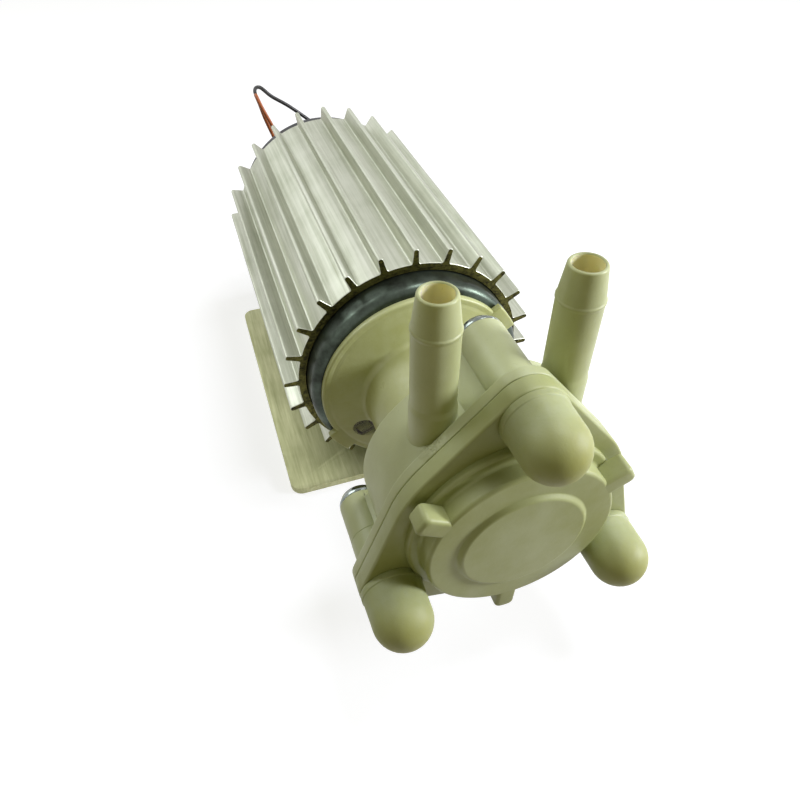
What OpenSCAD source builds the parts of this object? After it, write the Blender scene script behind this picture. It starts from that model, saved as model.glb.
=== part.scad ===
// Magnetically coupled gear pump: a finned electric motor on a plate, with a moulded pump head ahead of it.
// The origin is the centre of the plate's underside. +Y runs along the shaft towards the leads, +Z is up.
// The motor and its heat sink are turned a little about the shaft, so a frame of their own carries them.

/* [Base plate] */
// Width of the plate
plate_w = 65; // [58:0.5:80]
// Length of the plate
plate_l = 79; // [70:0.5:100]
// Thickness of the plate
plate_t = 1.8; // [1.4:0.1:4]
// Radius of the plate's corners
plate_corner_r = 3; // [1:0.5:8]
// Reach of the plate ahead of the heat sink
plate_lead = 4.9; // [0:0.1:8]
// Turn of the motor about its shaft, in degrees
turn = 2.2; // [0:0.1:3]

/* [Saddle rails] */
// Width over both saddle rails, which stand between the plate and the heat sink
saddle_w = 24; // [20:0.5:26]
// Length of a saddle rail
saddle_l = 56; // [40:1:64]
// Height of the saddle rails
saddle_h = 4; // [3.6:0.1:5]
// Room between the rails and the heat sink
saddle_gap = 0.1; // [0.05:0.01:0.3]
// Radius of the plate screws
plate_screw_r = 1.25; // [1:0.05:1.5]
// Radius of the plate screws' sunk heads
plate_screw_head_r = 2.4; // [2.2:0.1:2.8]
// Pitch of the plate screws along a rail
plate_screw_pitch = 44; // [30:1:50]

/* [Heat sink] */
// Length of the heat sink
sink_l = 80.5; // [72:0.5:90]
// Wall of the heat sink's tube
sink_wall = 1.7; // [1.2:0.1:3]
// Height of the fins
fin_h = 3.4; // [2.8:0.1:5]
// Thickness of a fin at its tip
fin_tip_t = 0.85; // [0.6:0.05:1]
// Thickness of a fin at its root
fin_root_t = 1.15; // [1.05:0.05:1.6]
// Number of fins
fin_count = 24; // [20:4:28]
// Room between the heat sink and the motor
sink_gap = 0.2; // [0.05:0.05:0.3]

/* [Motor] */
// Outer radius of the motor's steel can
can_r = 24.7; // [24:0.1:27]
// Wall of the can
can_wall = 1.5; // [1:0.1:2]
// Reach of the can ahead of the heat sink
can_nose = 5.7; // [4:0.1:9]
// Reach of the can behind the heat sink
can_tail = 3.5; // [2:0.1:8]
// Radius of the can's front edge
can_edge_r = 2; // [1:0.1:2.1]
// Radius of the motor shaft
shaft_r = 3; // [2.5:0.1:3.5]
// Outer radius of the shaft's bearings
bearing_r = 8; // [6.5:0.1:9]
// Length of a shaft bearing
bearing_l = 5; // [4:0.1:6]
// Flange that stops a bearing in its wall
bearing_flange = 1.2; // [0.8:0.1:2]
// Thickness of the field magnets
field_magnet_t = 4; // [3:0.1:5]
// Reach of the field magnets past each end of the armature's core
field_magnet_over = 5; // [1:0.1:6]
// Angle that each field magnet spans
field_magnet_arc = 140; // [100:5:150]
// Air gap between the field magnets and the armature
air_gap = 0.6; // [0.4:0.05:1]
// Room between the can's front wall and the front end winding
winding_front_room = 11.85; // [10:0.05:14]
// Room between the rear end winding and the commutator
winding_back_room = 3.85; // [2:0.05:6]
// Number of slots in the core
slot_count = 8; // [6:1:10]
// Width of a slot's mouth
slot_mouth = 2; // [1.5:0.1:2.5]
// Radius of a slot's round floor
slot_r = 3; // [2.2:0.1:3.2]
// Reach of the end windings past the core
winding_h = 7; // [5:0.1:8]
// Radius of the commutator
commutator_r = 7; // [6:0.1:8]
// Length of the commutator
commutator_l = 8; // [7.5:0.1:9]
// Number of commutator bars
commutator_bars = 8; // [6:1:12]
// Width of a carbon brush
brush_w = 4; // [3:0.1:5]
// Share of the way from the commutator to its holder's end that a brush fills
brush_share = 0.52; // [0.4:0.01:0.6]
// Wall of a brush holder
brush_holder_wall = 0.6; // [0.4:0.05:0.8]

/* [Rear end cap] */
// Thickness of the end cap
end_cap_t = 3; // [2.5:0.1:5]
// Depth of the ring that the end cap puts into the can
end_cap_ring_l = 14; // [13.5:0.1:14.5]
// Wall of that ring
end_cap_ring_wall = 2.4; // [2:0.1:3]
// Half the distance between the leads where they leave the end cap
lead_x = 7; // [6:0.5:9]
// Height of the lead exits above the shaft
lead_z = 13; // [12.5:0.5:15]
// Radius of a lead grommet
grommet_r = 1.9; // [1.6:0.1:2.5]
// Reach of a lead grommet behind the end cap
grommet_reach = 2; // [1:0.1:3]

/* [Bell housing] */
// Radius of the bell's rim
bell_r = 22.75; // [22:0.05:24]
// Height of the bell's rim
bell_rim_h = 1.5; // [1.2:0.1:2.5]
// Rise of the bell's face from the rim to the neck
bell_rise = 2; // [1.5:0.1:4]
// Radius of the neck
neck_r = 13.6; // [13.2:0.1:14]
// Length of the neck from the bell's face to the pump head
neck_l = 24.7; // [24:0.1:28]
// Radius of the bore in the neck
neck_bore_r = 11.2; // [11:0.1:11.4]
// Thickness of the ring at the neck's end
neck_ring_t = 5.5; // [5:0.1:6]
// Depth of the neck's seat in the pump head
neck_seat = 2; // [1.5:0.1:2.4]
// Reach of the bell's ears from the shaft
ear_reach = 24.6; // [23.5:0.1:26]
// Width of an ear
ear_w = 7; // [6:0.1:9]
// Direction of the first ear, in degrees from +X
ear_angle = 36.5; // [20:0.5:65]
// Radius of the circle of the bell screws
bell_screw_circle = 17; // [16.6:0.1:18]
// Radius of a bell screw's head
bell_screw_head_r = 1.9; // [1.7:0.1:2.1]
// Radius of a bell screw's thread
bell_screw_r = 1.25; // [1:0.05:1.5]

/* [Magnetic coupling] */
// Radius of the drive cup
cup_r = 10.6; // [10.4:0.05:10.7]
// Wall of the drive cup
cup_wall = 1.2; // [1:0.1:1.4]
// Length of the drive cup
cup_l = 15.5; // [14.5:0.1:15.8]
// Length of the drive cup's hub
cup_hub_l = 3.6; // [3:0.1:4.5]
// Radius of the separating can
thimble_r = 6.6; // [6.2:0.1:6.8]
// Wall of the separating can
thimble_wall = 0.6; // [0.5:0.05:0.7]
// Room on each side of the separating can's wall
coupling_gap = 0.4; // [0.3:0.05:0.5]
// Length of the driven magnet
driven_magnet_l = 11.5; // [9:0.1:12]

/* [Pump head] */
// Rise of the head's centre above the shaft, which is half the distance between the gears
head_rise = 7; // [6.8:0.05:7.2]
// Length of the rear housing from its rear edge to its flange
body_l = 12.85; // [12.4:0.05:14]
// Step from the gear barrel's radius out to the rear housing's rear edge
body_step = 4.2; // [4:0.1:4.6]
// Growth of the rear housing's radius towards its flange
body_draft = 0.5; // [0:0.1:0.7]
// Step from the rear edge's radius out to the flange's
flange_step = 0.8; // [0.6:0.1:1.5]
// Thickness of the rear housing's flange
rear_flange_t = 2.15; // [2.05:0.05:3]
// Thickness of the front housing's flange
front_flange_t = 3.2; // [2.8:0.1:4]
// Height of the gear barrel in front of the flange
barrel_h = 5.1; // [4.6:0.1:6.5]
// Wall of the gear barrel around the gears
barrel_wall = 2.2; // [2:0.1:2.4]
// Height of the collar at the barrel's root
collar_h = 1.4; // [1:0.1:1.9]
// Step from the barrel's radius out to the collar's
collar_step = 2.1; // [1.5:0.1:2.2]
// Radius of the raised disc on the front
disc_r = 11.2; // [9:0.1:12]
// Height of the raised disc
disc_h = 0.8; // [0.6:0.1:1.2]
// Radius of the soft edges of the front housing
mould_edge_r = 0.5; // [0.3:0.05:0.55]
// Reach of the lugs from the barrel's centre
lug_reach = 21.8; // [20:0.1:22]
// Width of a lug
lug_w = 3.8; // [3:0.1:5]
// Depth of a lug along the shaft
lug_l = 4; // [3:0.1:4.4]

/* [Clamp bosses and caps] */
// Distance of the boss centres outside the rear housing's wall
boss_out = 3.35; // [3:0.05:3.6]
// Radius of a boss
boss_r = 4.3; // [4.2:0.05:4.8]
// Reach of the bosses behind the rear housing
boss_proud = 1.4; // [0.8:0.1:3]
// Width of the web between a boss and the housing
boss_web_w = 7.2; // [5:0.1:8]
// Width of the upper boss's web where it meets the housing
upper_web_w = 19; // [16:0.5:20]
// Radius of the flange around a boss
lobe_r = 5.8; // [5.8:0.05:6.4]
// Radius of the clamp screws
clamp_screw_r = 2; // [1.8:0.05:2.1]
// Radius of a clamp screw's head
clamp_head_r = 4.2; // [3.8:0.05:4.2]
// Height of a clamp screw's head
clamp_head_h = 2.4; // [2:0.1:3]
// Width of a clamp nut across its flats
nut_w = 7; // [6.6:0.1:7.2]
// Thickness of a clamp nut
nut_t = 3.2; // [2.6:0.1:3.4]
// Thickness of a washer under a clamp nut
washer_t = 0.8; // [0.5:0.1:1]
// Radius of a washer under a clamp nut
washer_r = 4; // [3.8:0.05:4.3]
// Radius of a cap at its foot
cap_foot_r = 5.75; // [5.6:0.05:5.8]
// Radius of a cap's dome
cap_dome_r = 5.5; // [5.4:0.05:5.55]
// Length of a cap from its foot to the dome's centre
cap_l = 6.6; // [6.2:0.1:8]
// Wall of a cap
cap_wall = 0.9; // [0.7:0.05:1]

/* [Gears and pump shafts] */
// Number of teeth on each gear
gear_teeth = 14; // [14:2:16]
// Pressure angle of the teeth, in degrees
pressure_angle = 20; // [18:0.5:22]
// Play between the teeth, measured round the pitch circle
backlash = 0.14; // [0.1:0.01:0.2]
// Room between the gear tips and the chamber
gear_tip_gap = 0.1; // [0.06:0.01:0.1]
// Depth of the gear chamber
chamber_l = 6; // [5:0.1:6.2]
// Radius of the pump shaft and of the driven gear's pin
pump_shaft_r = 2; // [1.6:0.05:2.2]
// Wall of the shaft bushes
bush_wall = 1; // [0.7:0.05:1.2]
// Depth of the bushes in the front housing
front_bush_l = 1.4; // [1:0.1:1.6]
// Thickness of the port plate
port_plate_t = 2; // [1.6:0.1:2]
// Step from the barrel's radius out to the port plate's
port_plate_step = 1.2; // [1:0.1:1.4]
// Thickness of the seal rings
seal_t = 1.3; // [1.1:0.05:1.3]
// Height of the ports that lead to the gears
port_h = 4.8; // [4:0.1:5]

/* [Hose barbs] */
// Distance of each barb from the head's centre
barb_x = 11.5; // [11.2:0.05:11.8]
// Distance of the barbs ahead of the rear housing's rear edge
barb_y = 8.8; // [8.4:0.05:9]
// Radius of a barb's shank
barb_r = 3.75; // [3.5:0.05:3.8]
// Step of the ridge over the shank
barb_ridge = 0.15; // [0.05:0.05:0.5]
// Radius of a barb's tip
barb_tip_r = 2.95; // [2.85:0.05:3.2]
// Radius of a barb's bore
barb_bore_r = 2.45; // [2:0.05:2.45]
// Height of a barb's tip above the head's centre
barb_top = 43.7; // [38:0.1:50]
// Length of a barb's tapered nose
barb_nose = 5.9; // [5:0.1:11]
// Height of a barb's foot above the head's centre
barb_foot = 9; // [8:0.1:11]

/* [Leads] */
// Diameter of a lead
lead_d = 1.1; // [0.9:0.05:1.15]
// Room between the turns of a coil
coil_gap = 0.5; // [0.45:0.05:0.6]
// Turns in a coil, half of them in each of its two layers
coil_turns = 4; // [4:2:6]
// Radius of a coil's innermost turn
coil_inner_r = 4.4; // [4:0.1:5]
// Thickness of a coil's tie
tie_t = 0.4; // [0.3:0.05:0.5]
// Width of a coil's tie
tie_w = 2; // [1.5:0.1:3]
// Length of the connector
connector_l = 11; // [9:0.1:14]
// Width of the connector
connector_w = 7.4; // [6.5:0.1:9]
// Distance between the connector's contacts
contact_pitch = 2.5; // [2.2:0.1:3]

/* [Fits] */
// Room between pieces that fit together and stay still
seat_gap = 0.05; // [0.03:0.01:0.06]
// Room around a turning shaft
run_gap = 0.04; // [0.02:0.01:0.06]
// Room around a screw that passes through a hole
hole_gap = 0.2; // [0.15:0.05:0.3]

/* [Hidden] */
$fn = 96;
over = 1;
arc_steps = 8;
turn_room = 0.4;

// Heat sink
sink_bore_r = can_r + sink_gap;
sink_r = sink_bore_r + sink_wall;
fin_r = sink_r + fin_h;
fin_pitch = 360 / fin_count;
fin_root_share = 0.25;
fin_bevel_share = 0.5;
sink_y = plate_lead - plate_l / 2;
axis_z = plate_t + fin_r;

// Places along the shaft, measured from the heat sink's front face, with -Y ahead
can_front = -can_nose;
can_back = sink_l + can_tail;
can_bore_r = can_r - can_wall;
bell_rim_y = can_front - bell_rim_h;
bell_face_y = bell_rim_y - bell_rise;
head_back = bell_face_y - neck_l;
rear_flange_back = head_back - body_l;
seam_y = rear_flange_back - rear_flange_t;
flange_front = seam_y - front_flange_t;
collar_front = flange_front - collar_h;
barrel_front = flange_front - barrel_h;
boss_back = head_back + boss_proud;

// Motor inside
magnet_outer_r = can_bore_r - seat_gap;
magnet_inner_r = magnet_outer_r - field_magnet_t;
core_r = magnet_inner_r - air_gap;
winding_r = core_r - slot_mouth / 2;
end_cap_ring_front = can_back - end_cap_ring_l;
commutator_lead = 0.5;
commutator_front = end_cap_ring_front - commutator_lead;
commutator_back = commutator_front + commutator_l;
core_front = can_front + can_wall + winding_front_room + winding_h;
core_back = commutator_front - winding_back_room - winding_h;
bar_gap = 0.5;
bar_gap_depth = 1;
brush_y = (commutator_front + commutator_back) / 2;
rear_bearing_y = can_back - bearing_l + bearing_flange;
bearing_boss_r = bearing_r + bearing_flange;

// Pump head radii
gear_module = 2 * head_rise / gear_teeth;
addendum_share = 0.9;
dedendum_share = 1.2;
gear_tip_r = head_rise + addendum_share * gear_module;
gear_root_r = head_rise - dedendum_share * gear_module;
chamber_r = gear_tip_r + gear_tip_gap;
chamber_floor = seam_y - chamber_l;
gear_side_gap = 0.05;
gear_w = chamber_l - 2 * gear_side_gap;
barrel_r = head_rise + chamber_r + barrel_wall;
body_r = barrel_r + body_step;
flange_r = body_r + flange_step;
boss_circle = body_r + boss_out;
boss_count = 3;
boss_first = 90;
boss_turn = 360 / boss_count;
lug_first = boss_first - boss_turn / 2;
port_plate_r = barrel_r + port_plate_step;
seal_side_gap = 0.1;
seal_ring_r = (port_plate_r + body_r) / 2;
barb_from_face = head_back - barb_y;
barb_root = 0.2;
barb_root_rise = 1.5;
barb_root_top = flange_r + barb_root_rise;
web_sink = 0.15;

// Pieces inside the rear housing
shoulder_t = 3;
shoulder_y = head_back - neck_seat - shoulder_t;
thimble_flange_t = 1.2;
thimble_flange_r = 10;
block_back = shoulder_y - thimble_flange_t;
plate_recess_y = seam_y + port_plate_t;
neck_ring_y = head_back - neck_seat + neck_ring_t;
ring_room = 0.9;
neck_ring_r = thimble_r + ring_room;
neck_screw_circle = (neck_bore_r + neck_ring_r) / 2;
neck_screw_r = 0.9;
neck_screw_head_r = 1.7;
neck_screw_head_h = 1.2;
neck_screw_count = 3;
neck_thread_l = 2.4;
cup_room = 1.5;
cup_front = neck_ring_y + neck_screw_head_h + cup_room;
cup_back = cup_front + cup_l;
cup_base_t = 1.5;
drive_magnet_in = 0.6;
cup_hub_wall = 3.6;
cup_hub_r = shaft_r + cup_hub_wall;
set_screw_r = 1;
thimble_end_room = 1.4;
thimble_tip = cup_back - cup_base_t - thimble_end_room;
driven_magnet_r = thimble_r - thimble_wall - coupling_gap;
magnet_end_room = 0.8;
driven_magnet_back = thimble_tip - thimble_wall - magnet_end_room;
pump_shaft_back = driven_magnet_back;
bush_r = pump_shaft_r + bush_wall;
front_bush_floor = chamber_floor - front_bush_l;
block_bush_l = (block_back - plate_recess_y) / 2;

// Clamp screws and caps
clamp_hole_r = clamp_screw_r + hole_gap;
nut_front = flange_front - washer_t - nut_t;
thread_past_nut = 0.8;
clamp_screw_front = nut_front - thread_past_nut;
nut_sides = 6;
cross_w = 1.1;
cross_l_share = 1.1;
cross_depth_share = 0.5;

// Leads: grommets, coils and the connector, with the routes' points in the plate's frame
lead_r = lead_d / 2;
cap_back = can_back + end_cap_t;
grommet_back = cap_back + grommet_reach;
grommet_end_r = grommet_r - 0.5 * lead_r;
lead_step = 2.6;
lead_sides = 8;
coil_sides = 6;
coil_rings = 24;
coil_pitch = lead_d + coil_gap;
coil_span = coil_pitch * coil_turns / 2;
coil_outer_r = coil_inner_r + coil_span;
coil_steps = coil_turns * coil_rings;
tie_room = 0.05;
tie_side_room = 0.2;
coil_floor = tie_t + lead_r + tie_room;
coil_ceiling = coil_floor + coil_pitch;
coil_x = 23;
coil_y = 100;
lead_gap_x = contact_pitch / 2;
connector_y = 118;
connector_h = 2 * coil_ceiling;
lead_start = [0, sink_y + grommet_back, axis_z + lead_z];
ahead = [0, 1, 0];
straight = 2;
orange_points = [
    [-8.4, 61, 45.9], [-10.9, 62.1, 49.8], [-12.8, 62.2, 54.2], [-14.2, 62.8, 57.7], [-14.9, 64.5, 59.8],
    [-14.9, 66.8, 59.6], [-14.1, 68.9, 57], [-12.5, 70.8, 50.5], [-9.5, 72.6, 41], [-5.5, 74.5, 28],
    [-1.5, 76.8, 15], [1.8, 79.2, 6.6], [5.8, 82, 1.9], [10.5, 84.5, 0.6], [15, 87, 0.6], [19.2, 90, 0.7]
];
black_points = [
    [6, 60.9, 45.9], [3.4, 62.4, 48.6], [-0.8, 63, 52.4], [-6, 63, 56.8], [-10.6, 63.6, 59.9],
    [-13.4, 66.4, 61.9], [-14.6, 70.2, 59.6], [-13, 72.8, 53.3], [-10.3, 75.2, 45], [-7, 77, 34],
    [-3, 78.5, 22], [1.5, 80, 11.4], [6.2, 81, 4.2], [11, 82, 1.3], [15.8, 84, 0.6], [20.5, 87, 0.6],
    [23.6, 90.5, 0.7]
];

// Points of an arc about c
function arc(c, r, from, to) =
    [for (i = [0 : arc_steps]) let (a = from + (to - from) * i / arc_steps) c + r * [cos(a), sin(a)]];

// Frames of the motor, of the pump head, and of a barb, which stands upright
module on_axis() {
    translate([0, sink_y, axis_z]) rotate([0, turn, 0]) children();
}

module on_head() {
    on_axis() translate([0, 0, head_rise]) children();
}

head_x = head_rise * sin(turn);
head_z = axis_z + head_rise * cos(turn);

module at_barb(side) {
    translate([head_x + side * barb_x, sink_y + barb_from_face, head_z]) children();
}

// A round bar along the shaft from one place to another
module bar(r, from, to) {
    translate([0, min(from, to), 0]) rotate([-90, 0, 0]) cylinder(r = r, h = abs(to - from));
}

// A tube along the shaft
module tube(outer, inner, from, to) {
    difference() {
        bar(outer, from, to);
        bar(inner, min(from, to) - over, max(from, to) + over);
    }
}

// A flat outline drawn in X and Z, as thick as the distance between two places along the shaft
module slab(from, to) {
    translate([0, max(from, to), 0]) rotate([90, 0, 0]) linear_extrude(abs(to - from)) children();
}

// A profile of [radius, place along the shaft] points, turned about the shaft
module turned(points) {
    rotate([-90, 0, 0]) rotate_extrude() polygon(points);
}

// Copies round the clamp bosses
module each_boss() {
    for (i = [0 : boss_count - 1])
        rotate([0, -(boss_first + i * boss_turn), 0]) translate([boss_circle, 0, 0]) children();
}

// Plate and saddle

module plate_outline() {
    difference() {
        square([plate_w, plate_l], center = true);
        for (sx = [-1, 1], sy = [-1, 1])
            translate([sx * plate_w / 2, sy * plate_l / 2]) difference() {
                square(2 * plate_corner_r, center = true);
                translate(-plate_corner_r * [sx, sy]) circle(plate_corner_r);
            }
    }
}

saddle_mid = sink_y + sink_l / 2 - plate_lead;

// Copies at the plate screws, which stand between the lowest fins
module each_plate_screw() {
    for (side = [-1, 1], end = [-1, 1])
        translate([fin_mid_x(side), saddle_mid + end * plate_screw_pitch / 2, 0]) children();
}

function fin_mid_x(side) = (sink_r + fin_h / 2) * sin(side * fin_pitch / 2 - turn);

plate_screw_sink = plate_screw_head_r - plate_screw_r;
saddle_grip = 2;
plate_screw_top = plate_t + saddle_grip;

module base_plate() {
    color("gainsboro") difference() {
        linear_extrude(plate_t) plate_outline();
        each_plate_screw() {
            translate([0, 0, -over]) cylinder(r = plate_screw_r + hole_gap, h = plate_t + 2 * over);
            translate([0, 0, -over]) cylinder(r = plate_screw_head_r + hole_gap, h = over);
            cylinder(r1 = plate_screw_head_r + hole_gap, r2 = plate_screw_r + hole_gap, h = plate_screw_sink);
        }
    }
}

// Two rails, one on each side of the lowest fin, each with a slot for the next fin
module saddle_rails() {
    color("silver") difference() {
        translate([0, saddle_mid + saddle_l / 2, plate_t]) rotate([90, 0, 0]) linear_extrude(saddle_l)
            translate([-saddle_w / 2, 0]) square([saddle_w, saddle_h]);
        on_axis() slab(-over, sink_l + over) sink_outline(saddle_gap);
        each_plate_screw() cylinder(r = plate_screw_r, h = plate_screw_top);
    }
}

module plate_screws() {
    color("lightgray") each_plate_screw() difference() {
        union() {
            cylinder(r = plate_screw_r - seat_gap, h = plate_screw_top - seat_gap);
            cylinder(r1 = plate_screw_head_r, r2 = plate_screw_r - seat_gap, h = plate_screw_sink);
        }
        translate([0, 0, -over])
            cylinder(r = plate_screw_r * cross_l_share / 2, h = over + plate_screw_sink / 2, $fn = 6);
    }
}

// Heat sink

// One fin of the heat sink along +X, grown all round by room
module fin_outline(room) {
    root = fin_root_t / 2 + room;
    tip = fin_tip_t / 2 + room;
    polygon([
        [sink_bore_r + sink_wall / 2, -root],
        [sink_r + fin_h * fin_root_share + room, -tip],
        [fin_r - fin_tip_t * fin_bevel_share + room, -tip],
        [fin_r + room, -tip * fin_bevel_share],
        [fin_r + room, tip * fin_bevel_share],
        [fin_r - fin_tip_t * fin_bevel_share + room, tip],
        [sink_r + fin_h * fin_root_share + room, tip],
        [sink_bore_r + sink_wall / 2, root]
    ]);
}

module sink_outline(room) {
    circle(sink_r + room);
    for (i = [0 : fin_count - 1]) rotate(boss_first + i * fin_pitch) fin_outline(room);
}

module heat_sink() {
    color("silver") on_axis() slab(0, sink_l) difference() {
        sink_outline(0);
        circle(sink_bore_r);
    }
}

// Motor

// The can's outer profile, with its rounded front edge
function can_profile() = concat(
    [[0, can_front]],
    arc([can_r - can_edge_r, can_front + can_edge_r], can_edge_r, -90, 0),
    [[can_r, can_back], [0, can_back]]
);

module each_bell_screw() {
    for (i = [0, 1])
        rotate([0, -(ear_angle + 180 * i), 0]) translate([bell_screw_circle, 0, 0]) children();
}

bell_thread_l = can_wall + 1.5 * bell_screw_r;

// A short tab raised on the can's front edge
module can_tab() {
    slab(can_front + can_tab_in, can_front + can_tab_in + can_tab_l) rotate(can_tab_angle) intersection() {
        circle(can_r + seat_gap);
        translate([can_r - can_edge_r, -can_tab_w / 2]) square([2 * can_edge_r, can_tab_w]);
    }
}

can_tab_angle = 60;
can_tab_w = 8;
can_tab_l = 2;
can_tab_in = 0.7;

module motor_can() {
    color("dimgray") on_axis() difference() {
        union() {
            turned(can_profile());
            can_tab();
        }
        bar(can_bore_r, can_front + can_wall, can_back + over);
        bar(bearing_r + seat_gap, can_front - over, can_front + can_wall + over);
        each_bell_screw() bar(bell_screw_r, can_front - over, can_front + can_wall + over);
    }
}

// A plain bearing with a flange that stops it inside its wall
module bearing(front, flange_at) {
    difference() {
        union() {
            bar(bearing_r, front, front + bearing_l);
            bar(bearing_boss_r, flange_at, flange_at + bearing_flange);
        }
        bar(shaft_r + run_gap, front - over, front + bearing_l + over);
    }
}

module front_bearing() {
    color("peru") on_axis() bearing(can_front, can_front + can_wall);
}

module rear_bearing() {
    color("peru") on_axis() bearing(rear_bearing_y, rear_bearing_y);
}

module field_magnets() {
    color("darkslategray") on_axis()
        slab(core_front - field_magnet_over, core_back + field_magnet_over)
            for (side = [0, 180]) rotate(side) intersection() {
                difference() {
                    circle(magnet_outer_r);
                    circle(magnet_inner_r);
                }
                wedge(can_r, field_magnet_arc);
            }
}

// A pie-shaped outline that reaches past r on both sides of +X, for an arc of less than 180 degrees
module wedge(r, span) {
    reach = wedge_reach_share * r;
    side = [reach * cos(span / 2), reach * sin(span / 2)];
    polygon([[0, 0], [side[0], -side[1]], [wedge_reach_share * reach, 0], side]);
}
wedge_reach_share = 2;

module core_outline() {
    difference() {
        circle(core_r);
        for (i = [0 : slot_count - 1]) rotate(i * 360 / slot_count) {
            translate([slot_mid_r, 0]) circle(slot_r);
            translate([slot_mid_r, -slot_mouth / 2]) square([core_r, slot_mouth]);
        }
    }
}
slot_lip = 1.6;
slot_mid_r = core_r - slot_r - slot_lip;

module armature_core() {
    color("slategray") on_axis() slab(core_front, core_back) difference() {
        core_outline();
        circle(shaft_r + seat_gap);
    }
}

// Wire in the slots and round both ends of the core
module armature_windings() {
    wire_r = slot_r - 2 * seat_gap;
    color("chocolate") on_axis() difference() {
        union() {
            for (i = [0 : slot_count - 1])
                rotate([0, i * 360 / slot_count, 0]) translate([slot_mid_r, 0, 0])
                    bar(wire_r, core_front - winding_h / 2, core_back + winding_h / 2);
            turned(winding_end(core_front - seat_gap, -1));
            turned(winding_end(core_back + seat_gap, 1));
        }
        bar(shaft_r + 3 * hole_gap, core_front - 2 * winding_h, core_back + 2 * winding_h);
    }
}

function winding_end(at, way) = [
    [0, at],
    [winding_r - winding_h / 4, at],
    [winding_r, at + way * winding_h / 4],
    [winding_r, at + way * winding_h / 2],
    [winding_r - winding_h / 4, at + way * winding_h * 3 / 4],
    [commutator_r + winding_h / 4, at + way * winding_h],
    [0, at + way * winding_h]
];

module commutator() {
    color("sandybrown") on_axis() difference() {
        bar(commutator_r, commutator_front, commutator_back);
        bar(shaft_r + seat_gap, commutator_front - over, commutator_back + over);
        for (i = [0 : commutator_bars - 1]) rotate([0, (i + 0.5) * 360 / commutator_bars, 0])
            translate([commutator_r - bar_gap_depth, commutator_front - over, -bar_gap / 2])
                cube([2 * bar_gap_depth, commutator_l + 2 * over, bar_gap]);
    }
}

motor_shaft_front = cup_back - cup_base_t + seat_gap;

module motor_shaft() {
    color("lightsteelblue") on_axis() bar(shaft_r, motor_shaft_front, can_back - bearing_flange);
}

// Brushes bear on the commutator from both sides, in holders fixed in the end cap's ring
brush_inner = commutator_r + run_gap;
holder_w = brush_w + 2 * brush_holder_wall;
holder_outer = sqrt(pow(can_bore_r - seat_gap - end_cap_ring_wall, 2) - pow(holder_w / 2, 2)) - seat_gap;
holder_room = 1;
holder_inner = commutator_r + holder_room;
brush_l = brush_share * (holder_outer - brush_inner);

module each_brush() {
    for (side = [0, 180]) rotate([0, side, 0]) translate([0, brush_y, 0]) children();
}

module brushes() {
    color("dimgray") on_axis() each_brush()
        translate([brush_inner, -brush_w / 2, -brush_w / 2]) cube([brush_l, brush_w, brush_w]);
}

module brush_holders() {
    inner_w = brush_w + 2 * seat_gap;
    color("goldenrod") on_axis() each_brush() difference() {
        translate([holder_inner, -holder_w / 2, -holder_w / 2])
            cube([holder_outer - holder_inner, holder_w, holder_w]);
        translate([holder_inner - over, -inner_w / 2, -inner_w / 2])
            cube([brush_inner + brush_l - holder_inner + over + seat_gap, inner_w, inner_w]);
    }
}

module rear_end_cap() {
    ring_r = can_bore_r - seat_gap;
    color("darkslategray") on_axis() difference() {
        union() {
            turned(concat(
                [[0, can_back], [can_r, can_back]],
                arc([can_r - mould_edge_r, cap_back - mould_edge_r], mould_edge_r, 0, 90),
                [[0, cap_back]]
            ));
            tube(ring_r, ring_r - end_cap_ring_wall, end_cap_ring_front, can_back + end_cap_t / 2);
            bar(bearing_boss_r + end_cap_ring_wall,
                rear_bearing_y - bearing_flange / 2, can_back + end_cap_t / 2);
        }
        bar(bearing_r + seat_gap, rear_bearing_y, rear_bearing_y + bearing_l + seat_gap);
        bar(bearing_boss_r + seat_gap, rear_bearing_y - bearing_flange,
            rear_bearing_y + bearing_flange + seat_gap);
        each_grommet() bar(grommet_r + seat_gap, can_back - over, cap_back + over);
    }
}

// Copies at the two leads, level with each other in the plate's frame
module each_grommet() {
    for (side = [-1, 1]) rotate([0, -turn, 0]) translate([side * lead_x, 0, lead_z]) children();
}

module lead_grommets() {
    color("black") on_axis() each_grommet() {
        bar(grommet_r, can_back, cap_back);
        translate([0, cap_back, 0]) turned(concat(
            [[0, 0], [grommet_r, 0]],
            [[grommet_end_r, grommet_reach], [0, grommet_reach]]
        ));
    }
}

// Bell housing between the motor and the pump head

bell_edge_r = 0.6;
bell_edge_arc = 75;

function bell_profile() = concat(
    [[0, can_front], [bell_r, can_front]],
    arc([bell_r - bell_edge_r, bell_rim_y + bell_edge_r], bell_edge_r, 0, -bell_edge_arc),
    [
        [neck_r + neck_root, bell_face_y + neck_root * bell_rise / (bell_r - neck_r)],
        [neck_r + neck_root / 3, bell_face_y - neck_root / 3],
        [neck_r, bell_face_y - neck_root],
        [neck_r, head_back - neck_seat],
        [0, head_back - neck_seat]
    ]
);
neck_root = 1.6;

module ear_outline() {
    intersection() {
        circle(ear_reach);
        for (i = [0, 1]) rotate(ear_angle + 180 * i)
            translate([bell_screw_circle, -ear_w / 2]) square([ear_reach, ear_w]);
    }
}

ear_t = 1.6;
bell_screw_seat = 1;

module bell_housing() {
    color("ivory") on_axis() difference() {
        union() {
            turned(bell_profile());
            slab(can_front, can_front - ear_t) ear_outline();
        }
        bar(neck_bore_r, can_front + over, neck_ring_y);
        bar(neck_ring_r, neck_ring_y + over, head_back - neck_seat - over);
        each_bell_screw() {
            bar(bell_screw_r + hole_gap, can_front + over, bell_face_y);
            bar(bell_screw_head_r + 2 * hole_gap, can_front - bell_screw_seat, bell_face_y - over);
        }
        each_neck_screw() bar(neck_screw_r + hole_gap / 2, neck_ring_y + over, head_back - neck_seat - over);
    }
}

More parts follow.
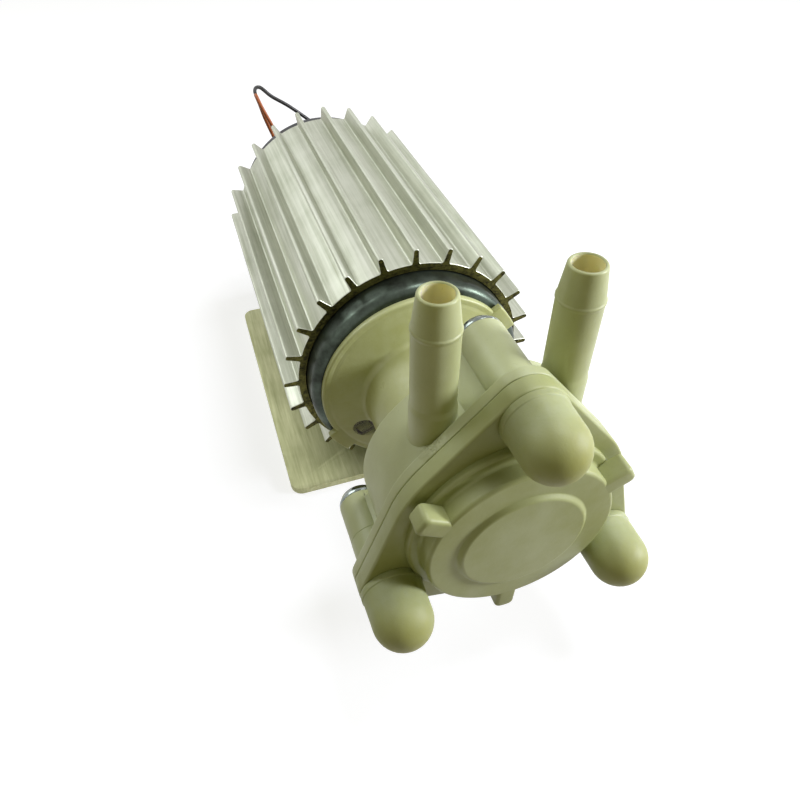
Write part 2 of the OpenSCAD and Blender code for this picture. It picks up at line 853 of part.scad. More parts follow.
module each_neck_screw() {
    for (i = [0 : neck_screw_count - 1])
        rotate([0, -(270 + i * 360 / neck_screw_count), 0]) translate([neck_screw_circle, 0, 0]) children();
}

bell_screw_head_h = 1.4;

module bell_screws() {
    seat = can_front - bell_screw_seat;
    color("dimgray") on_axis() each_bell_screw() difference() {
        union() {
            bar(bell_screw_r - seat_gap, seat, can_front + can_wall);
            bar(bell_screw_head_r, seat, seat - bell_screw_head_h);
        }
        slab(seat - bell_screw_head_h / 2, seat - bell_screw_head_h - over) circle(bell_screw_r, $fn = 6);
    }
}

module neck_screws() {
    color("lightgray") on_axis() each_neck_screw() difference() {
        union() {
            bar(neck_screw_head_r, neck_ring_y, neck_ring_y + neck_screw_head_h);
            bar(neck_screw_r - seat_gap, neck_ring_y, head_back - neck_seat - neck_thread_l + seat_gap);
        }
        slab(neck_ring_y + neck_screw_head_h / 2, neck_ring_y + neck_screw_head_h + over)
            circle(neck_screw_r, $fn = 6);
    }
}

// Magnetic coupling

module drive_cup() {
    color("slategray") on_axis() difference() {
        union() {
            bar(cup_r, cup_front, cup_back);
            bar(cup_hub_r, cup_back, cup_back + cup_hub_l);
        }
        bar(cup_r - cup_wall, cup_front - over, cup_back - cup_base_t);
        bar(shaft_r + seat_gap, cup_front, cup_back + cup_hub_l + over);
        translate([0, cup_back + cup_hub_l / 2, 0])
            cylinder(r = set_screw_r + seat_gap, h = cup_hub_r + over);
    }
}

module cup_set_screw() {
    color("dimgray") on_axis() translate([0, cup_back + cup_hub_l / 2, shaft_r + seat_gap])
        difference() {
            cylinder(r = set_screw_r, h = cup_hub_wall - seat_gap);
            translate([0, 0, cup_hub_wall - set_screw_r])
                cylinder(r = set_screw_r / 2, h = set_screw_r, $fn = 6);
        }
}

module drive_magnet() {
    color("darkslategray") on_axis() tube(cup_r - cup_wall - seat_gap, thimble_r + coupling_gap,
        cup_front + drive_magnet_in, cup_back - cup_base_t);
}

module separating_can() {
    color("tan") on_axis() difference() {
        union() {
            bar(thimble_r, shoulder_y, thimble_tip);
            bar(thimble_flange_r - seat_gap, block_back, shoulder_y);
        }
        bar(thimble_r - thimble_wall, block_back - over, thimble_tip - thimble_wall);
    }
}

can_seal_r = thimble_r + seal_t / 2;

module can_seal() {
    color("black") on_axis() ring_seal(can_seal_r, shoulder_y + seal_t / 2);
}

// A seal ring of round section about the shaft
module ring_seal(r, at) {
    translate([0, at, 0]) rotate([-90, 0, 0]) rotate_extrude() translate([r, 0])
        circle(seal_t / 2 - seat_gap / 2, $fn = 24);
}

module driven_magnet() {
    color("darkslategray") on_axis()
        tube(driven_magnet_r, pump_shaft_r + seat_gap,
            driven_magnet_back - driven_magnet_l, driven_magnet_back);
}

// Pump head

// The flange's outline: a disc with a lobe at each boss, joined by lines just inside the tangents to both
module flange_outline() {
    spread = acos((flange_r - lobe_r) / boss_circle);
    side = [cos(spread), sin(spread)];
    other = [cos(spread), -sin(spread)];
    centre = [boss_circle, 0];
    circle(flange_r);
    for (i = [0 : boss_count - 1]) rotate(boss_first + i * boss_turn) {
        translate(centre) circle(lobe_r);
        polygon([
            [0, 0],
            (flange_r - web_sink) * other,
            centre + (lobe_r - web_sink) * other,
            centre + (lobe_r - web_sink) * side,
            (flange_r - web_sink) * side
        ]);
    }
}

// Bosses with the webs that join them to the housing's wall. The upper web widens towards the wall
module boss_outline(r) {
    for (i = [0 : boss_count - 1]) rotate(boss_first + i * boss_turn) {
        translate([boss_circle, 0]) circle(r);
        translate([body_r - boss_out, -boss_web_w / 2]) square([2 * boss_out, boss_web_w]);
    }
    rotate(boss_first) polygon([
        [body_r - boss_out, -upper_web_w / 2],
        [boss_circle, -boss_web_w / 2],
        [boss_circle, boss_web_w / 2],
        [body_r - boss_out, upper_web_w / 2]
    ]);
}

port_inner_x = head_rise - 2 * barb_bore_r / 3;

module port_outline() {
    for (side = [-1, 1]) {
        translate([side * barb_x, 0]) circle(port_h / 2);
        translate([side < 0 ? -barb_x : port_inner_x, -port_h / 2]) square([barb_x - port_inner_x, port_h]);
    }
}

module rear_housing() {
    color("ivory") difference() {
        on_head() {
            translate([0, rear_flange_back, 0]) rotate([-90, 0, 0])
                cylinder(r1 = body_r + body_draft, r2 = body_r, h = body_l);
            slab(rear_flange_back, seam_y) flange_outline();
            slab(head_back, seam_y) boss_outline(boss_r);
            each_boss() bar(boss_r, boss_back, seam_y);
        }
        on_head() each_boss() bar(clamp_hole_r, boss_back + over, seam_y - over);
        on_head() bar(port_plate_r + seat_gap, plate_recess_y, seam_y - over);
        on_axis() bar(neck_r + seat_gap, head_back + over, head_back - neck_seat);
        on_axis() bar(thimble_r + hole_gap, head_back, shoulder_y - over);
        on_axis() bar(thimble_flange_r, shoulder_y, seam_y - over);
        on_axis() bar(can_seal_r + seal_t / 2 + seat_gap, shoulder_y - over, shoulder_y + seal_t);
        on_axis() each_neck_screw() bar(neck_screw_r, head_back, head_back - neck_seat - neck_thread_l);
        for (side = [-1, 1]) at_barb(side) {
            translate([0, 0, barb_foot]) cylinder(r = barb_r + barb_root + seat_gap, h = body_r);
            cylinder(r = barb_bore_r, h = barb_foot + over);
            sphere(barb_bore_r);
            bar(barb_bore_r, 0, seam_y - barb_from_face);
        }
        on_head() translate([0, 0, head_rise]) bar(pump_shaft_r, pin_back, seam_y);
    }
}

pin_seat = 4;
pin_back = plate_recess_y + pin_seat;

module bearing_block() {
    color("linen") on_axis() difference() {
        bar(thimble_flange_r - seat_gap, block_back - seat_gap, plate_recess_y);
        bar(bush_r + seat_gap, plate_recess_y - over, plate_recess_y + block_bush_l);
        bar(pump_shaft_r + turn_room, plate_recess_y, block_back + over);
    }
}

// Plain bushes: one in the bearing block for the pump shaft, and one in the front housing for it
module shaft_bushes() {
    color("saddlebrown") on_axis() {
        tube(bush_r, pump_shaft_r + run_gap, plate_recess_y, plate_recess_y + block_bush_l - seat_gap);
        tube(bush_r, pump_shaft_r + run_gap, chamber_floor, front_bush_floor + seat_gap);
    }
}

module port_plate() {
    color("wheat") on_head() slab(plate_recess_y - seat_gap, seam_y) difference() {
        circle(port_plate_r);
        port_outline();
        translate([0, -head_rise]) circle(pump_shaft_r + turn_room);
        translate([0, head_rise]) circle(pump_shaft_r + seat_gap);
    }
}

module housing_seal() {
    color("black") on_head() ring_seal(seal_ring_r, seam_y - seal_t / 2);
}

module pump_shaft() {
    color("lightsteelblue") on_axis() bar(pump_shaft_r, front_bush_floor + seat_gap, pump_shaft_back);
}

// Gears

function polar(r, a) = r * [cos(a), sin(a)];
function roll_at(base_r, r) = sqrt(max(0, pow(r / base_r, 2) - 1)) * 180 / PI;
function involute_angle(base_r, r) = roll_at(base_r, r) - acos(min(1, base_r / r));

flank_steps = 5;
pitch_r = head_rise;
base_r = pitch_r * cos(pressure_angle);
tooth_half = 90 / gear_teeth - backlash / 4 / pitch_r * 180 / PI + involute_angle(base_r, pitch_r);

// One side of a tooth, from root to tip, turned by way
function flank(way) = concat(
    [polar(gear_root_r, way * tooth_half)],
    [for (i = [0 : flank_steps])
        let (r = base_r + (gear_tip_r - base_r) * i / flank_steps)
        polar(r, way * (tooth_half - involute_angle(base_r, r)))]
);

function backwards(list) = [for (i = [len(list) - 1 : -1 : 0]) list[i]];
function turned_by(list, a) = [for (p = list) [p[0] * cos(a) - p[1] * sin(a), p[0] * sin(a) + p[1] * cos(a)]];

module gear_outline(hole) {
    tooth = concat(flank(-1), backwards(flank(1)));
    difference() {
        polygon([for (i = [0 : gear_teeth - 1]) each turned_by(tooth, i * 360 / gear_teeth)]);
        circle(hole);
    }
}

gear_front = seam_y - gear_side_gap;

module drive_gear() {
    color("oldlace") on_axis() slab(gear_front, gear_front - gear_w)
        rotate(90) gear_outline(pump_shaft_r + seat_gap / 2);
}

module driven_gear() {
    color("oldlace") on_head() translate([0, 0, head_rise]) slab(gear_front, gear_front - gear_w)
        rotate(90 + 180 / gear_teeth) gear_outline(pump_shaft_r + run_gap);
}

module driven_pin() {
    color("lightsteelblue") on_head() translate([0, 0, head_rise])
        bar(pump_shaft_r - seat_gap / 2, pin_back - seat_gap, front_bush_floor + seat_gap);
}

// Front housing: flange, collar and gear barrel, with the raised disc and three lugs

function barrel_profile() = concat(
    [[0, seam_y], [barrel_r + collar_step, seam_y]],
    [[barrel_r + collar_step, collar_front + mould_edge_r]],
    arc([barrel_r + collar_step - mould_edge_r, collar_front + mould_edge_r], mould_edge_r, 0, -90),
    [[barrel_r, collar_front]],
    arc([barrel_r - mould_edge_r, barrel_front + mould_edge_r], mould_edge_r, 0, -90),
    [[disc_r + mould_edge_r, barrel_front]],
    arc([disc_r - mould_edge_r, barrel_front - disc_h + mould_edge_r], mould_edge_r, 0, -90),
    [[0, barrel_front - disc_h]]
);

module front_housing() {
    color("ivory") difference() {
        on_head() union() {
            slab(seam_y, flange_front) flange_outline();
            turned(barrel_profile());
            for (i = [0 : boss_count - 1]) rotate([0, -(lug_first + i * boss_turn), 0])
                translate([barrel_r - barrel_wall, barrel_front, -lug_w / 2])
                    cube([lug_reach - barrel_r + barrel_wall, lug_l, lug_w]);
        }
        on_head() each_boss() {
            bar(clamp_hole_r, seam_y + over, flange_front - over);
            bar(cap_foot_r + hole_gap, flange_front, barrel_front);
        }
        on_head() slab(seam_y + over, chamber_floor) {
            for (side = [-1, 1]) translate([0, side * head_rise]) circle(chamber_r);
            square([2 * barb_x, port_h], center = true);
        }
        on_axis() bar(bush_r + seat_gap, seam_y, front_bush_floor);
        on_head() translate([0, 0, head_rise]) bar(pump_shaft_r, seam_y, front_bush_floor);
        on_head() tube(seal_ring_r + seal_t / 2 + seal_side_gap, seal_ring_r - seal_t / 2 - seal_side_gap,
            seam_y + over, seam_y - seal_t);
    }
}

// Hose barbs

barb_ridge_z = barb_top - barb_nose;

module barb() {
    color("ivory") difference() {
        rotate_extrude() polygon([
            [0, barb_foot],
            [barb_r + barb_root, barb_foot],
            [barb_r + barb_root, barb_root_top],
            [barb_r, barb_root_top],
            [barb_r, barb_ridge_z - 2 * barb_ridge],
            [barb_r + barb_ridge, barb_ridge_z],
            [barb_tip_r, barb_top],
            [0, barb_top]
        ]);
        translate([0, 0, barb_foot - over]) cylinder(r = barb_bore_r, h = barb_top - barb_foot + 2 * over);
    }
}

module inlet_barb() {
    at_barb(-1) barb();
}

module outlet_barb() {
    at_barb(1) barb();
}

// Clamp screws with their nuts, washers and caps

function pan_head(r, h) = concat(
    [[0, 0], [r, 0], [r, h / 4]],
    arc([r - h * 3 / 4, h / 4], h * 3 / 4, 0, 90),
    [[0, h]]
);

module clamp_screws() {
    color("lightgray") on_head() each_boss() difference() {
        union() {
            translate([0, boss_back, 0]) turned(pan_head(clamp_head_r, clamp_head_h));
            bar(clamp_screw_r, boss_back, clamp_screw_front);
        }
        slab(boss_back + clamp_head_h * cross_depth_share, boss_back + clamp_head_h + over) {
            square([clamp_head_r * cross_l_share, cross_w], center = true);
            square([cross_w, clamp_head_r * cross_l_share], center = true);
        }
    }
}

module clamp_washers() {
    color("lightgray") on_head() each_boss()
        tube(washer_r, clamp_hole_r, flange_front, flange_front - washer_t);
}

module clamp_nuts() {
    color("lightgray") on_head() each_boss() slab(flange_front - washer_t, nut_front) difference() {
        circle(nut_w / 2 / cos(180 / nut_sides), $fn = nut_sides);
        circle(clamp_screw_r + seat_gap);
    }
}

function cap_profile(foot_r, dome_r, foot, dome) = concat(
    [[0, foot], [foot_r, foot]],
    arc([0, dome], dome_r, 0, -90)
);

module dome_caps() {
    dome = flange_front - cap_l;
    color("khaki") on_head() each_boss() difference() {
        turned(cap_profile(cap_foot_r, cap_dome_r, flange_front, dome));
        bar(cap_foot_r - cap_wall, flange_front + over, flange_front - cap_wall);
        turned(cap_profile(cap_foot_r - cap_wall, cap_dome_r - cap_wall, flange_front - cap_wall / 2, dome));
    }
}

// Leads

// A point on a smooth curve through four points, at share t of the way from b to c
function curve_point(a, b, c, d, t) =
    0.5 * ((2 * b) + (c - a) * t + (2 * a - 5 * b + 4 * c - d) * t * t + (3 * b - a - 3 * c + d) * t * t * t);

// Nothing runs lower than a lead that lies on the table
function on_table(p) = [p[0], p[1], max(p[2], lead_r)];

// Points spread along a route
function route_part(route, k) =
    let (
        a = route[max(k - 1, 0)],
        b = route[k],
        c = route[k + 1],
        d = route[min(k + 2, len(route) - 1)],
        steps = max(1, round(norm(c - b) / lead_step))
    )
    [for (i = [0 : steps - 1]) on_table(curve_point(a, b, c, d, i / steps))];
function along(route) =
    concat([for (k = [0 : len(route) - 2]) each route_part(route, k)], [route[len(route) - 1]]);

function unit(v) = v / norm(v);

// The way a path runs at each of its points, with both ends along the leads' common direction
function heading(path, i) =
    i == 0 || i == len(path) - 1 ? ahead : unit(path[i + 1] - path[i - 1]);

// Frames carried along a path without twist, as [side, up] pairs
function next_side(side, way) = unit(side - way * (side * way));
function sides(path, i = 0, side = [0.6, 0.1, 0.8]) =
    i >= len(path) ? [] : let (s = next_side(side, heading(path, i))) concat([s], sides(path, i + 1, s));

// One closed tube of flat faces along a path
module swept(path, r, n) {
    side = sides(path);
    rings = len(path);
    points = [for (i = [0 : rings - 1])
        let (way = heading(path, i), s = side[i], u = cross(way, s))
        for (j = [0 : n - 1]) path[i] + r * (cos(j * 360 / n) * s + sin(j * 360 / n) * u)];
    walls = [for (i = [0 : rings - 2], j = [0 : n - 1])
        let (a = i * n + j, b = i * n + (j + 1) % n)
        each [[a, b + n, b], [a, a + n, b + n]]];
    ends = [for (j = [1 : n - 2])
        each [[0, j, j + 1], [(rings - 1) * n, (rings - 1) * n + j + 1, (rings - 1) * n + j]]];
    polyhedron(points, concat(walls, ends));
}

// A coil of two layers: it spirals in below, climbs in the half turn at its middle, and spirals out above
function coil_radius(t) = coil_inner_r + coil_span * abs(2 * t - 1);
function coil_height(t) = coil_floor + coil_pitch * min(1, max(0, 0.5 + (t - 0.5) * 2 * coil_turns));
function coil_point(t, side) =
    let (a = 360 * coil_turns * t, r = coil_radius(t))
    [coil_x + side * (lead_gap_x + coil_outer_r - r * cos(a)), coil_y + r * sin(a), coil_height(t)];

// Least gap of a coil to itself, between points at least half a turn apart
coil_self_gap = min([for (i = [0 : coil_steps], j = [i + coil_rings / 2 : 1 : coil_steps])
    norm(coil_point(i / coil_steps, 1) - coil_point(j / coil_steps, 1))]) - lead_d;
echo(coil_self_gap = coil_self_gap);

module coil(side) {
    swept([for (i = [0 : coil_steps]) coil_point(i / coil_steps, side)], lead_r, coil_sides);
}

module orange_coil() {
    color("chocolate") coil(-1);
}

module black_coil() {
    color("dimgray") coil(1);
}

// A lead from its grommet to its coil, straight at both ends
module lead(points, side) {
    start = lead_start + [side * lead_x, 0, 0];
    end = [coil_x + side * lead_gap_x, coil_y, coil_floor];
    swept(along(concat(
        [start, start + straight * ahead, start + 2 * straight * ahead],
        points,
        [end - 3 * straight * ahead, end - 1.5 * straight * ahead, end]
    )), lead_r, lead_sides);
}

module orange_lead() {
    color("chocolate") lead(orange_points, -1);
}

module black_lead() {
    color("dimgray") lead(black_points, 1);
}

// A tail from its coil to the connector
module tail(side) {
    start = [coil_x + side * lead_gap_x, coil_y, coil_ceiling];
    end = [start[0], connector_y, coil_ceiling];
    middle = (start + end) / 2 + [side * tail_bow, 0, 0];
    swept(along([
        start, start + straight * ahead, start + 2 * straight * ahead,
        middle,
        end - 2 * straight * ahead, end - straight * ahead, end
    ]), lead_r, lead_sides);
}
tail_bow = 0.8;

module orange_tail() {
    color("chocolate") tail(-1);
}

module black_tail() {
    color("dimgray") tail(1);
}

// A strap round both layers of each coil, on the side away from the leads
module coil_ties() {
    near = coil_outer_r + coil_inner_r + coil_span / 4 - lead_r - tie_side_room;
    far = coil_outer_r + coil_inner_r + coil_span * 3 / 4 + lead_r + tie_side_room;
    top = coil_ceiling + lead_r + tie_room;
    color("whitesmoke") for (side = [-1, 1])
        translate([coil_x + side * (lead_gap_x + (near + far) / 2), coil_y, 0]) difference() {
            translate([0, 0, (top + tie_t) / 2])
                cube([far - near + 2 * tie_t, tie_w, top + tie_t], center = true);
            translate([0, 0, (top + tie_t) / 2]) cube([far - near, 2 * tie_w, top - tie_t], center = true);
        }
}

// Connector

contact_w = 1.2;
contact_room = 0.1;
contact_l_share = 0.7;
latch_h = 1.2;
latch_l_share = 0.4;
cavity_w = contact_w + 2 * contact_room;

module each_contact() {
    for (side = [-1, 1]) translate([coil_x + side * lead_gap_x, connector_y, coil_ceiling]) children();
}

module connector_housing() {
    latch_l = connector_l * latch_l_share;
    color("whitesmoke") difference() {
        union() {
            translate([coil_x - connector_w / 2, connector_y, 0])
                cube([connector_w, connector_l, connector_h]);
            translate([coil_x + connector_w / 4, connector_y + connector_l / 2, connector_h])
                rotate([0, -90, 0]) linear_extrude(connector_w / 2)
                    polygon([[0, 0], [0, latch_l], [latch_h, latch_l], [latch_h, latch_l * 3 / 4]]);
        }
        each_contact() translate([-cavity_w / 2, connector_l * (1 - contact_l_share), -cavity_w / 2])
            cube([cavity_w, connector_l, cavity_w]);
    }
}

// Square socket contacts in the connector's cavities, each with a hole for a pin
module connector_contacts() {
    contact_l = connector_l * contact_l_share - contact_w;
    color("gold") each_contact() difference() {
        translate([-contact_w / 2, connector_l * (1 - contact_l_share), -contact_w / 2])
            cube([contact_w, contact_l, contact_w]);
        translate([-contact_w / 4, connector_l * (1 - contact_l_share) + contact_w, -contact_w / 4])
            cube([contact_w / 2, contact_l, contact_w / 2]);
    }
}

base_plate();
saddle_rails();
plate_screws();
heat_sink();
motor_can();
front_bearing();
rear_bearing();
field_magnets();
armature_core();
armature_windings();
commutator();
motor_shaft();
brush_holders();
brushes();
rear_end_cap();
lead_grommets();
bell_housing();
bell_screws();
drive_cup();
drive_magnet();
cup_set_screw();
separating_can();
can_seal();
driven_magnet();
rear_housing();
neck_screws();
bearing_block();
shaft_bushes();
port_plate();
housing_seal();
pump_shaft();
drive_gear();
driven_gear();
driven_pin();
front_housing();
inlet_barb();
outlet_barb();
clamp_screws();
clamp_washers();
clamp_nuts();
dome_caps();
orange_lead();
black_lead();
orange_coil();
black_coil();
orange_tail();
black_tail();
coil_ties();
connector_housing();
connector_contacts();
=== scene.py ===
import math

import bmesh
import bpy
import numpy as np
from mathutils import Matrix, Vector


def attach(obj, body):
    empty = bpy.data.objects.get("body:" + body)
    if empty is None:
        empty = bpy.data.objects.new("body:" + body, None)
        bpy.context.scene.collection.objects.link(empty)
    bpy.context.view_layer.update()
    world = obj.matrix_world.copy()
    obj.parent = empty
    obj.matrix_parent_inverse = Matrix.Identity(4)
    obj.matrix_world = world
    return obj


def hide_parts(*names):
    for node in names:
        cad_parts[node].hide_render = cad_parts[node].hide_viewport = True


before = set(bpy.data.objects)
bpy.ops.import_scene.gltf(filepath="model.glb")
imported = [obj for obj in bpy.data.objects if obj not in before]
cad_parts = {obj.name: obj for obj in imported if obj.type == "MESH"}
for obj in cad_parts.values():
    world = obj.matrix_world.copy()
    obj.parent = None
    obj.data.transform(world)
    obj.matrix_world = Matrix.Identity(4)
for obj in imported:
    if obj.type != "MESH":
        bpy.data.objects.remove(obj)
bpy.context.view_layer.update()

MM = 0.001

# The motor's frame: x to the side, y along the shaft from the heat sink's front face, z up, turned
# a little about the shaft. Lengths are in millimetres until a mesh is made.
SINK_Y = -34.6
AXIS_Z = 31.8
LEAN = math.radians(2.2)
HEAD_RISE = 7.0  # half the distance between the two gears
FULL = 2 * math.pi


def on_axis(points):
    """The motor's frame turned by LEAN about the shaft, then moved to the shaft's place over the plate."""
    x, y, z = np.moveaxis(np.asarray(points, float), -1, 0)
    return np.stack([
        x * math.cos(LEAN) + z * math.sin(LEAN),
        y + SINK_Y,
        z * math.cos(LEAN) - x * math.sin(LEAN) + AXIS_Z
    ], -1)


def level(points):
    """The motor's frame moved to its place but not turned: the two leads leave side by side at one height."""
    return np.asarray(points, float) + [0, SINK_Y, AXIS_Z]


def on_head(points):
    """The pump head's frame is the motor's, moved up by half the distance between the gears."""
    return on_axis(np.asarray(points, float) + [0, 0, HEAD_RISE])


HEAD_X, _, HEAD_Z = on_head([0, 0, 0])


# Camera and light

def add_camera():
    """The photograph's viewpoint: the three rows are the camera's right, down and forward directions."""
    right = (0.948658, -0.31629, -0.002829)
    down = (-0.22269, -0.661515, -0.716105)
    ahead = (0.224625, 0.679969, -0.697987)
    place = (-39.587 * MM, -146.655 * MM, 135.095 * MM)
    data = bpy.data.cameras.new("viewpoint")
    data.sensor_width = 36
    data.lens = 30.09
    data.clip_start, data.clip_end = 0.005, 20
    camera = bpy.data.objects.new("viewpoint", data)
    camera.matrix_world = Matrix([
        [right[i], -down[i], -ahead[i], place[i]] for i in range(3)
    ] + [[0, 0, 0, 1]])
    bpy.context.scene.collection.objects.link(camera)
    bpy.context.scene.camera = camera


def add_lamp(name, place, aim, size, power, colour):
    """A square soft light at a place in metres, turned towards the point that it aims at."""
    data = bpy.data.lights.new(name, "AREA")
    data.shape = "SQUARE"
    data.size = size
    data.energy = power
    data.color = colour
    lamp = bpy.data.objects.new(name, data)
    way = Vector(place) - Vector(aim)
    lamp.matrix_world = Matrix.Translation(place) @ way.to_track_quat("Z", "Y").to_matrix().to_4x4()
    bpy.context.scene.collection.objects.link(lamp)


def add_world():
    """Pale light from all round. What the camera, gloss and clear pieces see of it is plain white."""
    world = bpy.data.worlds.new("studio")
    world.use_nodes = True
    bpy.context.scene.world = world
    nodes, links = world.node_tree.nodes, world.node_tree.links
    nodes.clear()
    lit = nodes.new("ShaderNodeBackground")
    lit.inputs["Color"].default_value = (1.0, 0.88, 0.12, 1)
    lit.inputs["Strength"].default_value = 0.12
    seen = nodes.new("ShaderNodeBackground")
    seen.inputs["Color"].default_value = (1, 1, 1, 1)
    seen.inputs["Strength"].default_value = 1.0
    rays = nodes.new("ShaderNodeLightPath")
    white = rays.outputs["Is Camera Ray"]
    for other in ("Is Glossy Ray", "Is Transmission Ray"):
        either = nodes.new("ShaderNodeMath")
        either.operation = "MAXIMUM"
        links.new(white, either.inputs[0])
        links.new(rays.outputs[other], either.inputs[1])
        white = either.outputs[0]
    mix = nodes.new("ShaderNodeMixShader")
    links.new(white, mix.inputs[0])
    links.new(lit.outputs[0], mix.inputs[1])
    links.new(seen.outputs[0], mix.inputs[2])
    out = nodes.new("ShaderNodeOutputWorld")
    links.new(mix.outputs[0], out.inputs["Surface"])


add_camera()
add_world()
add_lamp("key", (0.22, -0.01, 0.60), (0, -0.05, 0.04), 0.22, 2.0, (0.98, 1.0, 1.08))
add_lamp("right", (0.52, -0.26, 0.24), (0, -0.06, 0.05), 0.14, 3.5, (0.98, 1.0, 1.08))
add_lamp("sky", (-0.38, 0.36, 0.52), (0, 0.0, 0.04), 0.34, 1.6, (0.93, 0.98, 1.0))
add_lamp("window", (-0.50, -0.18, 0.28), (0, -0.05, 0.04), 0.05, 0.08, (0.97, 1.0, 1.0))
bpy.context.scene.view_settings.view_transform = "Standard"


# Leads

WIRE_D = 1.1
HAIR = 0.01  # the wires stay this much inside their solids
LEAD_X, LEAD_Z = 7.0, 13.0  # where the leads leave the end cap
GROMMET_BACK = 89.0
COIL_X, COIL_Y = 23.0, 100.0
PITCH_X = 2.5  # between the connector's two ways
COIL_IN, COIL_TURNS, COIL_PITCH = 4.4, 4, 1.6
COIL_LOW = 1.0
COIL_HIGH = COIL_LOW + COIL_PITCH
COIL_SPAN = COIL_PITCH * COIL_TURNS / 2
PLUG_Y = 118.0
ORANGE_ROUTE = [
    [-8.4, 61, 45.9], [-10.9, 62.1, 49.8], [-12.8, 62.2, 54.2], [-14.2, 62.8, 57.7], [-14.9, 64.5, 59.8],
    [-14.9, 66.8, 59.6], [-14.1, 68.9, 57], [-12.5, 70.8, 50.5], [-9.5, 72.6, 41], [-5.5, 74.5, 28],
    [-1.5, 76.8, 15], [1.8, 79.2, 6.6], [5.8, 82, 1.9], [10.5, 84.5, 0.6], [15, 87, 0.6], [19.2, 90, 0.7]
]
BLACK_ROUTE = [
    [6, 60.9, 45.9], [3.4, 62.4, 48.6], [-0.8, 63, 52.4], [-6, 63, 56.8], [-10.6, 63.6, 59.9],
    [-13.4, 66.4, 61.9], [-14.6, 70.2, 59.6], [-13, 72.8, 53.3], [-10.3, 75.2, 45], [-7, 77, 34],
    [-3, 78.5, 22], [1.5, 80, 11.4], [6.2, 81, 4.2], [11, 82, 1.3], [15.8, 84, 0.6], [20.5, 87, 0.6],
    [23.6, 90.5, 0.7]
]


def flowing(knots, step=0.6):
    """A smooth curve through the knots a, b, c, d and so on: from b to c, as t goes from 0 to 1, it's half
    of 2b + (c-a)t + (2a-5b+4c-d)t^2 + (3b-a-3c+d)t^3. It never sinks into the table."""
    k = np.asarray(knots, float)
    k = np.concatenate([k[:1], k, k[-1:]])
    parts = []
    for a, b, c, d in zip(k[:-3], k[1:-2], k[2:-1], k[3:]):
        t = np.arange(0, 1, step / max(step, np.linalg.norm(c - b)))[:, None]
        parts.append(0.5 * (2 * b + (c - a) * t + (2 * a - 5 * b + 4 * c - d) * t ** 2
                            + (3 * b - a - 3 * c + d) * t ** 3))
    line = np.concatenate(parts + [k[-1:]])
    line[:, 2] = np.maximum(line[:, 2], WIRE_D / 2)
    return line


def coiled(side):
    """A coil of two layers: its radius falls to the middle turn, where it climbs a layer, and grows again."""
    t = np.linspace(0, 1, COIL_TURNS * 36 + 1)
    a = FULL * COIL_TURNS * t
    r = COIL_IN + COIL_SPAN * np.abs(2 * t - 1)
    rise = np.clip(0.5 + (t - 0.5) * 2 * COIL_TURNS, 0, 1)
    return np.stack([
        COIL_X + side * (PITCH_X / 2 + COIL_IN + COIL_SPAN - r * np.cos(a)),
        COIL_Y + r * np.sin(a),
        COIL_LOW + COIL_PITCH * rise
    ], -1)


def lead_line(knots, side):
    """A lead's whole centreline: grommet, run to the table, coil, and tail to the connector."""
    start = level([side * LEAD_X, GROMMET_BACK, LEAD_Z])
    ahead = np.array([0, 1.0, 0])
    into = np.array([COIL_X + side * PITCH_X / 2, COIL_Y, COIL_LOW])
    top = into + [0, 0, COIL_PITCH]
    end = np.array([top[0], PLUG_Y, COIL_HIGH])
    run = flowing([start, start + 2 * ahead, start + 4 * ahead, *knots,
                   into - 6 * ahead, into - 3 * ahead, into])
    tail = flowing([top, top + 2 * ahead, top + 4 * ahead, (top + end) / 2 + [side * 0.8, 0, 0],
                    end - 4 * ahead, end - 2 * ahead, end])
    return np.concatenate([run, coiled(side)[1:-1], tail])


# Mesh making

def quads(rows, columns, looped):
    """Faces of a grid whose columns close round: each point with its right, upper right and upper neighbour.
    The last row joins the first where looped."""
    i = np.arange(rows if looped else rows - 1)[:, None]
    j = np.arange(columns)[None, :]
    up, on = (i + 1) % rows, (j + 1) % columns
    here, beyond = i * columns, up * columns
    return np.stack([here + j, here + on, beyond + on, beyond + j], -1).reshape(-1, 4)


def skin(rows, ends):
    """A closed shell from rows of points. ends is loop, where the last row joins the first, or poles,
    where the first and last rows each close in a fan about their own middle."""
    rows = np.asarray(rows, float)
    m, n, _ = rows.shape
    faces = quads(m, n, ends == "loop")
    points = rows.reshape(-1, 3)
    if ends == "loop":
        return points, [faces]
    points = np.concatenate([points, [rows[0].mean(0), rows[-1].mean(0)]])
    j = np.arange(n)
    on = (j + 1) % n
    low = np.stack([np.full(n, m * n), on, j], -1)
    high = np.stack([np.full(n, m * n + 1), (m - 1) * n + j, (m - 1) * n + on], -1)
    return points, [faces, low, high]


def rounded(corners, looped=True, steps=5):
    """A line through flat corners [x, y, radius], each replaced by an arc that is tangent to both sides:
    its centre lies on the bisector, radius over the sine of the half angle away from the corner."""
    c = np.asarray(corners, float)
    parts = []
    for i, (here, radius) in enumerate(zip(c[:, :2], c[:, 2])):
        if radius == 0 or (not looped and i in (0, len(c) - 1)):
            parts.append(here[None])
            continue
        back = c[i - 1, :2] - here
        on = c[(i + 1) % len(c), :2] - here
        back, on = back / np.linalg.norm(back), on / np.linalg.norm(on)
        half = math.acos(np.clip(back @ on, -1, 1)) / 2
        if half > math.pi / 2 - 0.01:
            parts.append(here[None])
            continue
        middle = back + on
        centre = here + middle / np.linalg.norm(middle) * radius / math.sin(half)
        first = here + back * radius / math.tan(half) - centre
        last = here + on * radius / math.tan(half) - centre
        spread = math.pi - 2 * half
        t = np.linspace(0, 1, steps + 1)[:, None]
        arc = np.sin((1 - t) * spread) * first + np.sin(t * spread) * last
        parts.append(centre + arc / math.sin(spread))
    return np.concatenate(parts)


